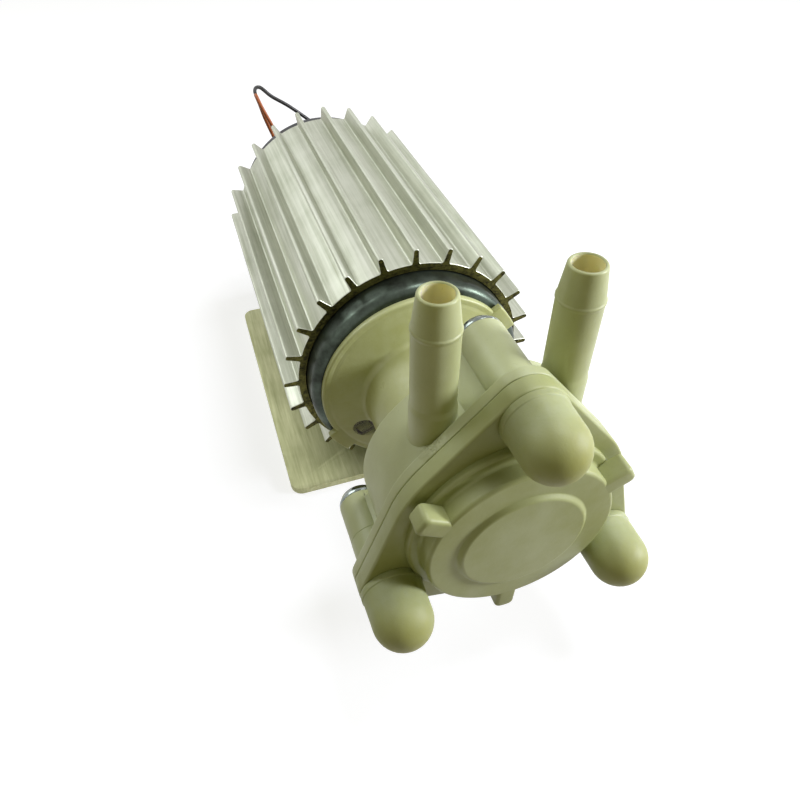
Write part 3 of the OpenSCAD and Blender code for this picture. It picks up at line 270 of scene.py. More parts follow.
def turned(corners, count=96, ends="loop", steps=5, place=on_axis, centre=(0, 0), swell=None):
    """A profile of [radius, y, corner radius], turned about the shaft: x = r cos a and z = r sin a,
    with the radius grown by swell(a, y) where a piece isn't quite round."""
    line = rounded(corners, ends == "loop", steps)
    r, y = line[:, :1], line[:, 1:]
    a = np.arange(count)[None, :] * FULL / count
    if swell is not None:
        r = r + swell(a, y)
    grid = np.stack(np.broadcast_arrays(centre[0] + r * np.cos(a), y, centre[1] + r * np.sin(a)), -1)
    return skin(place(grid), ends)


def drill(radius, start, end, count=32, **at):
    """A round cutter along y: a plain bar with sharp edges, turned about the hole's own middle."""
    return turned([[0, start, 0], [radius, start, 0], [radius, end, 0], [0, end, 0]], count, "poles", **at)


def inset(outline, by):
    """A closed flat outline moved inwards: each point goes against the mean normal of its two edges."""
    edge = np.roll(outline, -1, 0) - outline
    edge = edge / np.maximum(np.linalg.norm(edge, axis=1, keepdims=True), 1e-9)
    mean = edge + np.roll(edge, 1, 0)
    mean = mean / np.linalg.norm(mean, axis=1, keepdims=True)
    return outline - by * np.stack([mean[:, 1], -mean[:, 0]], -1)


def carried(loops, heights, ends="poles", place=on_axis):
    """Flat outlines in x and z, each carried to its own place y along the shaft and joined row by row."""
    rows = [np.stack([o[:, 0], np.full(len(o), y), o[:, 1]], -1) for o, y in zip(loops, heights)]
    return skin(place(np.array(rows)), ends)


def edged(outline_at, low, high, edge, low_edge, place=on_axis):
    """A slab from low to high with quarter-round edges: at an angle a round an edge, the outline is drawn in
    by edge (1 - cos a) and stands edge (1 - sin a) short of the face. low_edge is the low face's radius."""
    q = np.linspace(0, math.pi / 2, 5)
    loops = [outline_at(low_edge * (1 - math.cos(a))) for a in q[::-1]]
    heights = [low + low_edge * (1 - math.sin(a)) for a in q[::-1]]
    loops += [outline_at(edge * (1 - math.cos(a))) for a in q]
    heights += [high - edge * (1 - math.sin(a)) for a in q]
    return carried(loops, heights, place=place)


def new_object(name, shells):
    """One mesh object at the origin, from closed shells in millimetres."""
    points, faces, start = [], [], 0
    for p, f in shells:
        points.append(p)
        faces += [(part + start).tolist() for part in f]
        start += len(p)
    data = bpy.data.meshes.new(name)
    data.from_pydata((np.concatenate(points) * MM).tolist(), [], [face for part in faces for face in part])
    data.update()
    piece = bpy.data.objects.new(name, data)
    bpy.context.scene.collection.objects.link(piece)
    return piece


def settle(piece):
    """Takes in what the modifiers make, so that the mesh itself is the finished shape."""
    graph = bpy.context.evaluated_depsgraph_get()
    data = bpy.data.meshes.new_from_object(piece.evaluated_get(graph))
    piece.modifiers.clear()
    piece.data = data


def combined(piece, others, how):
    """Adds shells to a piece or takes them away, with one clean skin as the result."""
    for other in others:
        step = piece.modifiers.new("step", "BOOLEAN")
        step.operation = how
        step.solver = "MANIFOLD"
        step.object = other
    settle(piece)
    for other in others:
        bpy.data.objects.remove(other)
    return piece


def moulded(name, shells, holes=()):
    """A piece made of several closed shells fused into one skin, less the holes."""
    piece = new_object(name, shells[:1])
    if len(shells) > 1:
        combined(piece, [new_object(name + "_add", [s]) for s in shells[1:]], "UNION")
    if holes:
        combined(piece, [new_object(name + "_cut", [s]) for s in holes], "DIFFERENCE")
    return piece


def finished(piece, material, nodes, sharp=38):
    """Smooth shading up to an angle, the piece's material or materials, and the nodes that it stands for.
    Each new piece rides on the pump's fixed body."""
    data = piece.data
    data.polygons.foreach_set("use_smooth", np.ones(len(data.polygons), bool))
    data.set_sharp_from_angle(angle=math.radians(sharp))
    data.materials.clear()
    for m in material if isinstance(material, list) else [material]:
        data.materials.append(m)
    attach(piece, "pump")
    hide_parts(*nodes)
    return piece


def dressed(piece, material, chosen):
    """Gives a second finish to some faces: those whose points, in millimetres, are all picked out by the
    function chosen."""
    data = piece.data
    data.materials.append(material)
    points = np.empty(len(data.vertices) * 3)
    data.vertices.foreach_get("co", points)
    picked = chosen(*(points.reshape(-1, 3) / MM).T)
    face_is = [all(picked[v] for v in face.vertices) for face in data.polygons]
    data.polygons.foreach_set("material_index", np.array(face_is, np.int32))


def softened(node, name, width, material):
    """A copy of a plain solid with its points merged, its flat faces joined and its edges rounded."""
    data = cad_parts[node].data.copy()
    data.name = name
    bm = bmesh.new()
    bm.from_mesh(data)
    bmesh.ops.remove_doubles(bm, verts=bm.verts, dist=1e-6)
    bmesh.ops.dissolve_limit(bm, angle_limit=math.radians(0.5), verts=bm.verts, edges=bm.edges)
    bmesh.ops.recalc_face_normals(bm, faces=bm.faces)
    bm.to_mesh(data)
    bm.free()
    piece = bpy.data.objects.new(name, data)
    bpy.context.scene.collection.objects.link(piece)
    edge = piece.modifiers.new("edge", "BEVEL")
    edge.width = width * MM
    edge.segments = 2
    edge.limit_method = "ANGLE"
    edge.angle_limit = math.radians(40)
    settle(piece)
    return finished(piece, material, [node])


# Finishes

class Paint:
    """A material built a step at a time. Patterns read Object coordinates, so sizes are in metres."""

    def __init__(self, name, rough=0.5, metal=0.0, **fixed):
        self.material = bpy.data.materials.new(name)
        self.material.use_nodes = True
        self.nodes = self.material.node_tree.nodes
        self.links = self.material.node_tree.links
        self.shader = next(n for n in self.nodes if n.type == "BSDF_PRINCIPLED")
        self.shader.inputs["Roughness"].default_value = rough
        self.shader.inputs["Metallic"].default_value = metal
        for key, value in fixed.items():
            self.shader.inputs[key.replace("_", " ")].default_value = value
        self.place = self.nodes.new("ShaderNodeTexCoord").outputs["Object"]

    def feed(self, socket, value):
        """Joins an input to another step's output, or sets it to a plain value."""
        if isinstance(value, bpy.types.NodeSocket):
            self.links.new(value, socket)
        else:
            socket.default_value = value

    def add(self, kind, inputs=(), **settings):
        """One more step, with its settings made and its inputs fed."""
        node = self.nodes.new("ShaderNode" + kind)
        for key, value in settings.items():
            setattr(node, key, value)
        for key, value in dict(inputs).items():
            self.feed(node.inputs[key], value)
        return node

    def noise(self, size, detail=3.0, rough=0.55, stretch=None, warp=0.0):
        """Cloudy noise with features of about size millimetres."""
        place = self.place
        if stretch is not None:
            place = self.add("Mapping", {"Vector": place, "Scale": stretch}).outputs[0]
        return self.add("TexNoise", {
            "Vector": place, "Scale": 1000 / size, "Detail": detail, "Roughness": rough, "Distortion": warp
        }).outputs["Fac"]

    def span(self, value, low, high, out_low=0.0, out_high=1.0):
        """Takes a value from one range to another in a straight line, held at both ends."""
        return self.add("MapRange", {
            "Value": value, "From Min": low, "From Max": high, "To Min": out_low, "To Max": out_high
        }).outputs["Result"]

    def sum(self, a, b, how="ADD"):
        """Two values added, or put together in the way that how names."""
        return self.add("Math", {0: a, 1: b}, operation=how).outputs[0]

    def blend(self, share, a, b):
        """A colour between a and b, by share."""
        return self.add("Mix", {0: share, 6: a, 7: b}, data_type="RGBA").outputs[2]

    def to(self, name, socket):
        """Joins a step's output to one of the surface's own inputs."""
        self.links.new(socket, self.shader.inputs[name])

    def bump(self, *layers):
        """Each layer is a height from 0 to 1 and the depth in millimetres that it stands for."""
        normal = None
        for height, depth in layers:
            inputs = {"Height": height, "Strength": 1.0, "Distance": depth * MM}
            if normal is not None:
                inputs["Normal"] = normal
            normal = self.add("Bump", inputs).outputs[0]
        self.to("Normal", normal)


def rgb(r, g, b):
    """A colour as a picture editor shows it, turned to linear light."""
    return tuple(
        (c / 12.92 if c <= 0.04045 else ((c + 0.055) / 1.055) ** 2.4) for c in (r / 255, g / 255, b / 255)
    ) + (1.0,)


TIP_FROM, TIP_TO = -92 * MM, -99 * MM  # along the shaft, where the caps' ends take over a darker painted shade tone
SCUFFED = (-12.4, -80.9, 56.6, 3.4)    # middle and radius of the rough spot at the left barb's foot


def cast(name, pale, deep, rough=0.42, soft=0.12, grain=0.012, blotch=14.0, tip_shade=None, patch=None):
    """Moulded plastic: slow cloudy change between two tones, fine skin texture, faint flow marks and gloss
    change. tip_shade is painted shade, a darker and yellower tone for the caps' ends, and patch the middle
    and radius of a rough spot."""
    p = Paint(name, rough, Subsurface_Weight=soft, Subsurface_Scale=0.002, IOR=1.48)
    p.shader.inputs["Subsurface Radius"].default_value = (1.0, 0.9, 0.35)
    clouds = p.noise(blotch, 4, 0.6)
    flow = p.noise(5.0, 3, 0.5, stretch=(1, 0.35, 1), warp=0.6)
    tone = p.sum(p.span(clouds, 0.3, 0.7, 0, 0.7), p.span(flow, 0.35, 0.75, 0, 0.3))
    specks = p.span(p.noise(0.5, 2), 0.66, 0.8)
    colour = p.blend(tone, pale, deep)
    # The caps' ends blend into the painted shade tone along the shaft.
    if tip_shade is not None:
        y = p.add("SeparateXYZ", {"Vector": p.place}).outputs["Y"]
        uneven = p.sum(y, p.span(flow, 0, 1, -2.5 * MM, 2.5 * MM))
        colour = p.blend(p.span(uneven, TIP_FROM, TIP_TO), colour, tip_shade)
    speck = tuple(0.55 * c for c in deep[:3]) + (1,)
    p.to("Base Color", p.blend(p.sum(specks, 0.25, "MULTIPLY"), colour, speck))
    p.to("Roughness", p.span(clouds, 0.25, 0.75, rough - 0.07, rough + 0.1))
    layers = [(p.noise(0.35, 2), grain), (p.noise(3.2, 3), grain * 4)]
    if patch is not None:
        spot = tuple(c * MM for c in patch[:3])
        away = p.add("VectorMath", {0: p.place, 1: spot}, operation="DISTANCE").outputs["Value"]
        near = p.span(away, patch[3] * 0.5 * MM, patch[3] * MM, 1, 0)
        layers.append((p.sum(near, p.noise(0.8, 3, 0.7), "MULTIPLY"), 0.5))
    p.bump(*layers)
    return p.material


def drawn_metal(name, bright, dull, rough=0.34, lines=(1, 0.02, 1), grain=0.01, metal=0.9):
    """Extruded, rolled or drawn metal: long fine lines one way, with dull and bright bands between them."""
    p = Paint(name, rough, metal)
    long = p.noise(0.7, 3, 0.6, stretch=lines)
    wide = p.noise(3.5, 2, 0.5, stretch=lines)
    clouds = p.noise(11, 3)
    lined = p.sum(p.span(long, 0.3, 0.7, 0, 0.45), p.span(wide, 0.3, 0.7, 0, 0.3))
    tone = p.sum(lined, p.span(clouds, 0.3, 0.7, 0, 0.25))
    p.to("Base Color", p.blend(tone, bright, dull))
    p.to("Roughness", p.span(p.sum(long, clouds), 0.6, 1.4, rough - 0.08, rough + 0.14))
    p.bump((long, grain), (wide, grain * 2.5))
    return p.material


def sawn_metal(name, bright, dark):
    """A saw-cut face: close curved scratches across it, dark pits and torn edges. Its dark tones are partly
    painted shade.
    """
    p = Paint(name, 0.5, 0.85)
    cut = p.noise(0.35, 4, 0.7, stretch=(0.12, 1, 1), warp=0.4)
    pits = p.noise(1.1, 4, 0.65)
    tone = p.sum(p.span(cut, 0.35, 0.65, 0, 0.55), p.span(pits, 0.42, 0.62, 0, 0.6))
    p.to("Base Color", p.blend(tone, bright, dark))
    p.to("Roughness", p.span(pits, 0.3, 0.7, 0.38, 0.62))
    p.bump((cut, 0.05), (pits, 0.08))
    return p.material


def coated(name, tone, other, rough=0.4, metal=0.0, size=4.0, grain=0.01):
    """A plain coat or a small piece's finish: two near tones in clouds, with fine grain and gloss change."""
    p = Paint(name, rough, metal)
    clouds = p.noise(size, 4, 0.6)
    p.to("Base Color", p.blend(p.span(clouds, 0.3, 0.7), tone, other))
    p.to("Roughness", p.span(clouds, 0.3, 0.7, max(rough - 0.08, 0.05), min(rough + 0.1, 1)))
    p.bump((p.noise(size / 12, 2), grain))
    return p.material


IVORY = cast("moulded_ivory", rgb(190, 195, 150), rgb(172, 176, 124))
IVORY_BODY = cast("moulded_body", rgb(190, 196, 156), rgb(174, 178, 132), patch=SCUFFED)
IVORY_HEAD = cast("moulded_head", rgb(174, 180, 133), rgb(155, 159, 101))
IVORY_BELL = cast("moulded_bell", rgb(197, 201, 153), rgb(175, 178, 115), rough=0.34, blotch=9.0)
# Painted light: near-white beige for the barbs' bore walls, so that they read lighter than the shaded
# outsides, as light through the plastic makes them.
BORE = cast("bore_painted_light", rgb(228, 224, 190), rgb(214, 208, 168), rough=0.5, soft=0.4)
# Painted shade: near-black brown for the faces of the bell's sunk screw seats, standing for the shadow deep
# in them.
RECESS_SHADE = cast("screw_recess_painted_shade", rgb(62, 50, 16), rgb(40, 31, 9), rough=0.5)
# Painted shade: the caps' front ends turn a darker, yellower tone for the shade on them, lit from above.
CAP_WAX = cast("waxy_cap", rgb(175, 181, 141), rgb(160, 165, 114), rough=0.52, soft=0.35, blotch=6.0,
               tip_shade=rgb(158, 158, 88))
SINK_SIDE = drawn_metal("extruded_sides", rgb(212, 214, 200), rgb(148, 152, 130), rough=0.42, metal=0.85)
# The sawn ends' very dark olive tones are partly the rough cut and partly painted shade on faces turned away
# from the light.
SINK_CUT = sawn_metal("sawn_end_and_shade", rgb(104, 101, 48), rgb(34, 32, 9))
PLATE_SKIN = drawn_metal("rolled_sheet", rgb(208, 208, 166), rgb(152, 154, 110), rough=0.5,
                         lines=(1, 0.06, 1), metal=0.6)
CAN_SKIN = coated("browned_steel", rgb(84, 95, 84), rgb(24, 26, 18), rough=0.36, metal=0.85, size=7.0)
BRIGHT = coated("plated_screw", rgb(150, 157, 152), rgb(92, 100, 96), rough=0.15, metal=1.0, size=2.5,
                grain=0.004)
RUBBER = coated("soft_rubber", rgb(26, 26, 26), rgb(38, 38, 37), rough=0.7, size=3.0)
MOULDED_BLACK = coated("black_moulding", rgb(30, 31, 32), rgb(44, 45, 46), rough=0.5, size=9.0, grain=0.02)
ORANGE_COVER = coated("orange_cover", rgb(176, 96, 40), rgb(150, 74, 28), rough=0.45, size=5.0)
BLACK_COVER = coated("black_cover", rgb(34, 32, 30), rgb(20, 19, 18), rough=0.42, size=5.0)
WHITE_TIE = coated("white_strap", rgb(224, 224, 216), rgb(206, 206, 196), rough=0.5, size=3.0)
WHITE_PLUG = coated("white_plug", rgb(226, 224, 210), rgb(212, 209, 192), rough=0.45, size=6.0)

# The hidden pieces keep their solids' shapes and get a finish each. Those in SAME share another's.
INNER = {
    "front_bearing": coated("bronze_bush", rgb(176, 130, 78), rgb(150, 104, 60), rough=0.38, metal=0.8),
    "field_magnets": coated("ferrite", rgb(52, 52, 56), rgb(36, 36, 40), rough=0.6, size=5.0, grain=0.03),
    "armature_core": drawn_metal("stacked_laminations", rgb(120, 122, 124), rgb(70, 72, 76),
                                 lines=(0.02, 1, 0.02)),
    "armature_windings": drawn_metal("enamelled_wire", rgb(176, 96, 44), rgb(116, 52, 24), rough=0.3,
                                     lines=(0.3, 1, 0.3), metal=0.6),
    "commutator": drawn_metal("copper_bars", rgb(196, 124, 84), rgb(150, 84, 54), rough=0.3),
    "motor_shaft": drawn_metal("ground_steel", rgb(206, 208, 210), rgb(170, 174, 178), rough=0.22,
                               lines=(0.05, 1, 0.05), metal=1.0),
    "brush_holders": coated("brass_strip", rgb(196, 164, 92), rgb(168, 134, 66), rough=0.32, metal=0.9),
    "brushes": coated("pressed_carbon", rgb(44, 42, 40), rgb(28, 27, 26), rough=0.7, size=1.5, grain=0.03),
    # Painted shade: the bell screws are bright steel, coloured dark brown here for the shadow in their
    # recesses; the cup set screw shares it.
    "bell_screws": coated("screw_painted_shade", rgb(48, 37, 16), rgb(26, 20, 8), rough=0.8, metal=0.0),
    "drive_cup": drawn_metal("turned_cup", rgb(150, 152, 154), rgb(104, 106, 110), lines=(0.05, 1, 0.05)),
    "separating_can": cast("can_plastic", rgb(206, 190, 150), rgb(186, 168, 124)),
    "bearing_block": cast("block_plastic", rgb(222, 216, 198), rgb(204, 196, 172)),
    "shaft_bushes": coated("carbon_bush", rgb(56, 52, 50), rgb(38, 36, 34), rough=0.5),
    "port_plate": cast("wear_plate", rgb(214, 196, 150), rgb(190, 170, 120)),
    "drive_gear": cast("gear_plastic", rgb(226, 222, 206), rgb(206, 200, 178)),
    "clamp_nuts": coated("zinc_plate", rgb(190, 190, 182), rgb(150, 150, 140), rough=0.3, metal=0.95,
                         size=2.0),
    "connector_contacts": coated("contact_brass", rgb(206, 178, 104), rgb(180, 148, 78), rough=0.25,
                                 metal=1.0, size=1.0),
    "can_seal": RUBBER
}
SAME = {
    "rear_bearing": "front_bearing", "drive_magnet": "field_magnets", "driven_magnet": "field_magnets",
    "cup_set_screw": "bell_screws", "pump_shaft": "motor_shaft", "driven_pin": "motor_shaft",
    "driven_gear": "drive_gear", "clamp_washers": "clamp_nuts", "neck_screws": "clamp_nuts",
    "plate_screws": "clamp_nuts", "housing_seal": "can_seal"
}
for node, finish in [*INNER.items(), *((n, INNER[same]) for n, same in SAME.items())]:
    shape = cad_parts[node].data
    shape.materials.clear()
    shape.materials.append(finish)


# Heat sink

SINK_L = 80.5
SINK_BORE = 24.9
SINK_R = 26.6
FIN_R = 30.0
FINS = 24
FIN_FOOT, FIN_TIP = 0.8, 0.58  # half the thickness of a fin
BURR = 0.1


def sink_outline():
    """One fin's corners as radius, angle and corner radius, repeated round the tube: root fillets, tapered
    flanks and a rounded tip."""
    gap = math.pi / FINS
    side = np.array([
        [SINK_R, -gap * 0.98, 0], [SINK_R, -gap * 0.72, 0], [SINK_R, -gap * 0.48, 0],
        [SINK_R - 0.03, -FIN_FOOT / SINK_R, 0.4], [FIN_R, -FIN_TIP / FIN_R, 0.5],
        [FIN_R, FIN_TIP / FIN_R, 0.5], [SINK_R - 0.03, FIN_FOOT / SINK_R, 0.4],
        [SINK_R, gap * 0.48, 0], [SINK_R, gap * 0.72, 0]
    ])
    a = side[None, :, 1] + math.pi / 2 + np.arange(FINS)[:, None] * FULL / FINS
    r, soft = np.broadcast_to(side[:, 0], a.shape), np.broadcast_to(side[:, 2], a.shape)
    return rounded(np.stack([r * np.cos(a), r * np.sin(a), soft], -1).reshape(-1, 3), steps=4)


def make_heat_sink():
    """The fin outline carried along the shaft, drawn in a little at both sawn ends, round a plain bore."""
    outline = sink_outline()
    a = np.arctan2(outline[:, 1], outline[:, 0])
    bore = SINK_BORE * np.stack([np.cos(a), np.sin(a)], -1)
    along = np.concatenate([[0, BURR], np.linspace(4, SINK_L - 4, 8), [SINK_L - BURR, SINK_L]])
    loops = [inset(outline, BURR), *[outline] * (len(along) - 2), inset(outline, BURR), bore, bore]
    piece = new_object("sink_extrusion", [carried(loops, [*along, SINK_L, 0], "loop")])
    finished(piece, [SINK_SIDE, SINK_CUT], ["heat_sink"], sharp=30)
    cut = np.zeros((len(loops), len(outline)), np.int32)
    cut[[len(along) - 1, -1]] = 1
    piece.data.polygons.foreach_set("material_index", cut.ravel())


# Motor can and rear end cap

CAN_R = 24.7
CAN_BORE = 23.2
CAN_MOUTH = 8.05
CAN_FRONT, CAN_BACK = -5.7, 84.0
CAN_SHEET = 1.5
CAP_BACK = 87.0
TAB_A = math.radians(60)
TAB_Y = -3.6


def tab(a, y):
    """How far the can's short tab stands out: 0.12 mm, times a smooth step down on both sides of its angle
    and another on both sides of its place along the shaft."""
    across = np.abs(np.angle(np.exp(1j * (a - TAB_A))))
    near = 1 / (1 + np.exp((across - 0.16) * 90))
    along = 1 / (1 + np.exp((np.abs(y - TAB_Y) - 0.8) * 9))
    return 0.12 * near * along


def make_can():
    """The can's wall turned as one closed profile, with a short low tab pressed out behind its edge."""
    wall = CAN_R - 0.03
    profile = [
        [CAN_MOUTH, CAN_FRONT, 0.1], [wall, CAN_FRONT, 2.0],
        *([wall, y, 0] for y in (-3.4, -3.1, -2.8, -2.5, -2.2, -1.9)), [wall, CAN_BACK, 0.3],
        [CAN_BORE, CAN_BACK, 0.1], [CAN_BORE, CAN_FRONT + CAN_SHEET, 1.0],
        [CAN_MOUTH, CAN_FRONT + CAN_SHEET, 0.1]
    ]
    shell = turned(profile, 240, steps=8, swell=tab)
    finished(new_object("can_shell", [shell]), CAN_SKIN, ["motor_can"])


def make_end_cap():
    """The moulded cap turned with a shallow sunk ring in its back, less the two round holes for the leads."""
    profile = [
        [0, 81.5, 0], [8.0, 81.5, 0.1], [8.0, 78.9, 0.1], [11.6, 78.9, 0.4],
        [11.6, CAN_BACK, 0.6], [20.8, CAN_BACK, 0.6], [20.8, 70.0, 0.2], [23.15, 70.0, 0.3],
        [23.15, CAN_BACK, 0], [CAN_R, CAN_BACK, 0.15], [CAN_R, CAP_BACK, 0.5],
        [21.8, CAP_BACK, 0.3], [21.3, CAP_BACK - 0.5, 0.3], [9.9, CAP_BACK - 0.5, 0.3], [9.4, CAP_BACK, 0.3],
        [0, CAP_BACK, 0]
    ]
    body = turned(profile, 128, "poles")
    holes = [drill(1.95, 83.0, 88.0, place=level, centre=(x, LEAD_Z)) for x in (-LEAD_X, LEAD_X)]
    finished(moulded("end_cap_moulding", [body], holes), MOULDED_BLACK, ["rear_end_cap"])


def make_grommets():
    """Two small turned sleeves that taper to the leads."""
    profile = [
        [0, CAN_BACK, 0], [1.88, CAN_BACK, 0.1], [1.88, CAP_BACK - 0.35, 0], [1.9, CAP_BACK - 0.3, 0],
        [1.9, CAP_BACK + 0.5, 0.25], [1.2, 88.4, 0.3], [0.95, GROMMET_BACK, 0.15], [0, GROMMET_BACK, 0]
    ]
    shells = [turned(profile, 32, "poles", place=level, centre=(x, LEAD_Z)) for x in (-LEAD_X, LEAD_X)]
    finished(new_object("grommet_sleeves", shells), RUBBER, ["lead_grommets"])


# Bell housing and neck

BELL_R = 22.75
BELL_RIM = -7.2
BELL_FACE = -9.2
NECK_R = 13.6
HEAD_BACK = -33.9
EAR_A = math.radians(36.5)
EAR_HALF, EAR_REACH, EAR_THICK = 3.5, 24.6, 1.6
SCREW_CIRCLE = 17.0
SEAT_R = 3.25


def ears_outline(by):
    """Both ears as one bar across the shaft: two straight sides, and ends that are arcs about the shaft."""
    half, reach = EAR_HALF - by, EAR_REACH - by
    out = math.sqrt(reach ** 2 - half ** 2)
    a = np.linspace(-math.asin(half / reach), math.asin(half / reach), 9)
    arc = reach * np.stack([np.cos(a), np.sin(a)], -1)
    return np.concatenate([[[-out, -half], [0, -half]], arc, [[0, half], [-out, half]], -arc])


def make_bell():
    """The bell and its neck turned as one closed profile, with two ears and a sunk seat for each screw, whose
    faces carry painted shade.
    """
    profile = [
        [11.2, CAN_FRONT, 0.1], [BELL_R, CAN_FRONT, 0.15], [BELL_R, BELL_RIM, 0.55],
        [BELL_R - 1.3, BELL_RIM - 0.05, 0.5], [BELL_R - 2.0, BELL_RIM - 0.3, 0.5],
        [NECK_R + 0.1, BELL_FACE - 0.02, 1.6], [NECK_R, HEAD_BACK - 2, 0.2],
        [7.5, HEAD_BACK - 2, 0.1], [7.5, HEAD_BACK + 3.5, 0.1], [11.2, HEAD_BACK + 3.5, 0.3]
    ]
    body = turned(profile, 160, steps=8)
    ears = edged(lambda d: turn_flat(ears_outline(d), EAR_A), CAN_FRONT - EAR_THICK, CAN_FRONT, 0.1, 0.4)
    middles = [(SCREW_CIRCLE * math.cos(a), SCREW_CIRCLE * math.sin(a)) for a in (EAR_A, EAR_A + math.pi)]
    seat = [
        [0, -12.0, 0], [3.3, -12.0, 0], [3.0, -8.3, 0.3], [2.3, -7.7, 0.2], [2.3, -6.7, 0.2], [0, -6.7, 0]
    ]
    holes = []
    for middle in middles:
        holes.append(turned(seat, 40, "poles", centre=middle))
        holes.append(drill(1.45, -7.0, -5.0, 24, centre=middle))
    piece = moulded("bell_moulding", [body, ears], holes)
    finished(piece, IVORY_BELL, ["bell_housing"], sharp=32)
    # The seats' faces get the painted shade finish, dark for the shadow inside the recess.
    seats = [on_axis([x, 0, z]) for x, z in middles]
    dressed(piece, RECESS_SHADE, lambda x, y, z: sum(np.hypot(x - s[0], z - s[2]) < SEAT_R for s in seats) > 0)


def turn_flat(outline, angle):
    """A flat outline turned in its own plane."""
    c, s = math.cos(angle), math.sin(angle)
    return outline @ np.array([[c, s], [-s, c]])


# Pump head

# Along the shaft the head goes from HEAD_BACK to the raised disc's front, with the seam between its halves.
SEAM = -48.9
FLANGE_R, LOBE_R = 22.2, 5.8
BOSS_CIRCLE = 24.75
BOSSES = [math.radians(a) for a in (90, 210, 330)]
LUGS = [math.radians(a) for a in (30, 150, 270)]
BOSS_R = 4.3
BOSS_BACK = -32.5
CLAMP_HOLE_R = 2.2
WEB_HALF, WEB_LENGTH = 3.6, 6.7
UPPER_WEB_HALF = 9.5
FLANGE_BACK, FLANGE_FRONT = -46.75, -52.1
BODY_R = 21.4
COLLAR_R, COLLAR_FRONT = 19.3, -53.5
BARREL_R, BARREL_FRONT = 17.2, -57.2
DISC_R, DISC_FRONT = 11.2, -58.0
CHAMBER_R, CHAMBER_FRONT = 8.0, -54.9
LUG_HALF, LUG_START, LUG_REACH = 1.9, 14.5, 21.8
LUG_BACK = -53.2
BARB_X, BARB_Y = 11.5, -42.7
BARB_FOOT, BARB_TOP = 9.0, 43.7
BARB_BORE = 2.45


def flange(by):
    """The outline round a large disc and three small ones: each arc ends where the shared tangent leaves it,
    at the angle whose cosine is the difference of the radii over the distance of the centres."""
    big, small = FLANGE_R - by, LOBE_R - by
    spread = math.acos((FLANGE_R - LOBE_R) / BOSS_CIRCLE)
    parts = []
    for boss in BOSSES:
        a = np.linspace(boss - spread, boss + spread, 29)
        hub = BOSS_CIRCLE * np.array([math.cos(boss), math.sin(boss)])
        lobe = hub + small * np.stack([np.cos(a), np.sin(a)], -1)
        b = np.linspace(boss + spread, boss + FULL / 3 - spread, 13)
        disc = big * np.stack([np.cos(b), np.sin(b)], -1)
        t = np.linspace(0, 1, 7)[1:-1, None]
        parts += [lobe, lobe[-1] * (1 - t) + disc[0] * t, disc]
        after = boss + FULL / 3
        hub = BOSS_CIRCLE * np.array([math.cos(after), math.sin(after)])
        start = hub + small * np.array([math.cos(after - spread), math.sin(after - spread)])
        parts.append(disc[-1] * (1 - t) + start * t)
    return np.concatenate(parts)


def web(by, boss):
    """A level bar from the body to the middle of a boss. At the upper boss it widens towards the body."""
    half, foot = WEB_HALF - by, (UPPER_WEB_HALF if boss == BOSSES[0] else WEB_HALF) - by
    bar = np.array([[-WEB_LENGTH, -foot], [0, -half], [0.5, 0], [0, half], [-WEB_LENGTH, foot]])
    return turn_flat(bar + [BOSS_CIRCLE, 0], boss)


def boss_centre(boss):
    """The middle of a boss in the head's frame, x and z."""
    return BOSS_CIRCLE * math.cos(boss), BOSS_CIRCLE * math.sin(boss)


def make_rear_housing():
    """Body, flange, bosses and webs fused, less the neck's seat, the screw holes and the barbs' sockets."""
    body = turned([
        [0, -48.0, 0], [BODY_R + 0.45, -48.0, 0], [BODY_R + 0.45, -46.4, 0], [BODY_R, HEAD_BACK, 0.7],
        [0, HEAD_BACK, 0]
    ], 160, "poles", place=on_head)
    plate = edged(flange, SEAM, FLANGE_BACK, 0.4, 0.25, place=on_head)
    shells = [body, plate]
    holes = []
    for boss in BOSSES:
        line = 0.08 if boss == BOSSES[1] else 0  # a mould line shows round the lower left boss
        bar = edged(lambda d: web(d, boss), -47.5, HEAD_BACK - 0.02, 0.35, 0.05, place=on_head)
        shells += [bar, turned([
            [0, -47.6, 0], [BOSS_R + line / 2, -47.6, 0], [BOSS_R + line / 2, -41.4, 0.03],
            [BOSS_R - line, -41.3, 0.03], [BOSS_R - line, -41.15, 0.03], [BOSS_R, -41.05, 0.03],
            [BOSS_R, BOSS_BACK, 0.3], [0, BOSS_BACK, 0]
        ], 64, "poles", place=on_head, centre=boss_centre(boss))]
        holes.append(drill(CLAMP_HOLE_R, -50, BOSS_BACK + 1.5, place=on_head, centre=boss_centre(boss)))
    holes.append(drill(NECK_R + 0.05, HEAD_BACK - 2, -33.0, 128))
    holes.append(turned([
        [0, -50.0, 0], [10.0, -50.0, 0], [10.0, -38.9, 0], [6.8, -38.8, 0], [6.8, -33.0, 0], [0, -33.0, 0]
    ], 96, "poles"))
    holes.append(drill(18.45, -50.0, -46.9, 96, place=on_head))
    for side in (-1, 1):
        holes.append(turned([
            [0, 2.0, 0], [BARB_BORE, 2.0, 0], [BARB_BORE, BARB_FOOT, 0], [3.93, BARB_FOOT, 0],
            [3.93, 30.0, 0], [0, 30.0, 0]
        ], 48, "poles", place=at_barb(side)))
    piece = moulded("rear_moulding", shells, holes)
    finished(piece, IVORY_BODY, ["rear_housing"], sharp=32)


def lug(by):
    """A lug's outline seen along the shaft: a bar with rounded outer corners."""
    half, reach = LUG_HALF - by, LUG_REACH - by
    return rounded([[LUG_START, -half, 0], [reach, -half, 0.9], [reach, half, 0.9], [LUG_START, half, 0]])


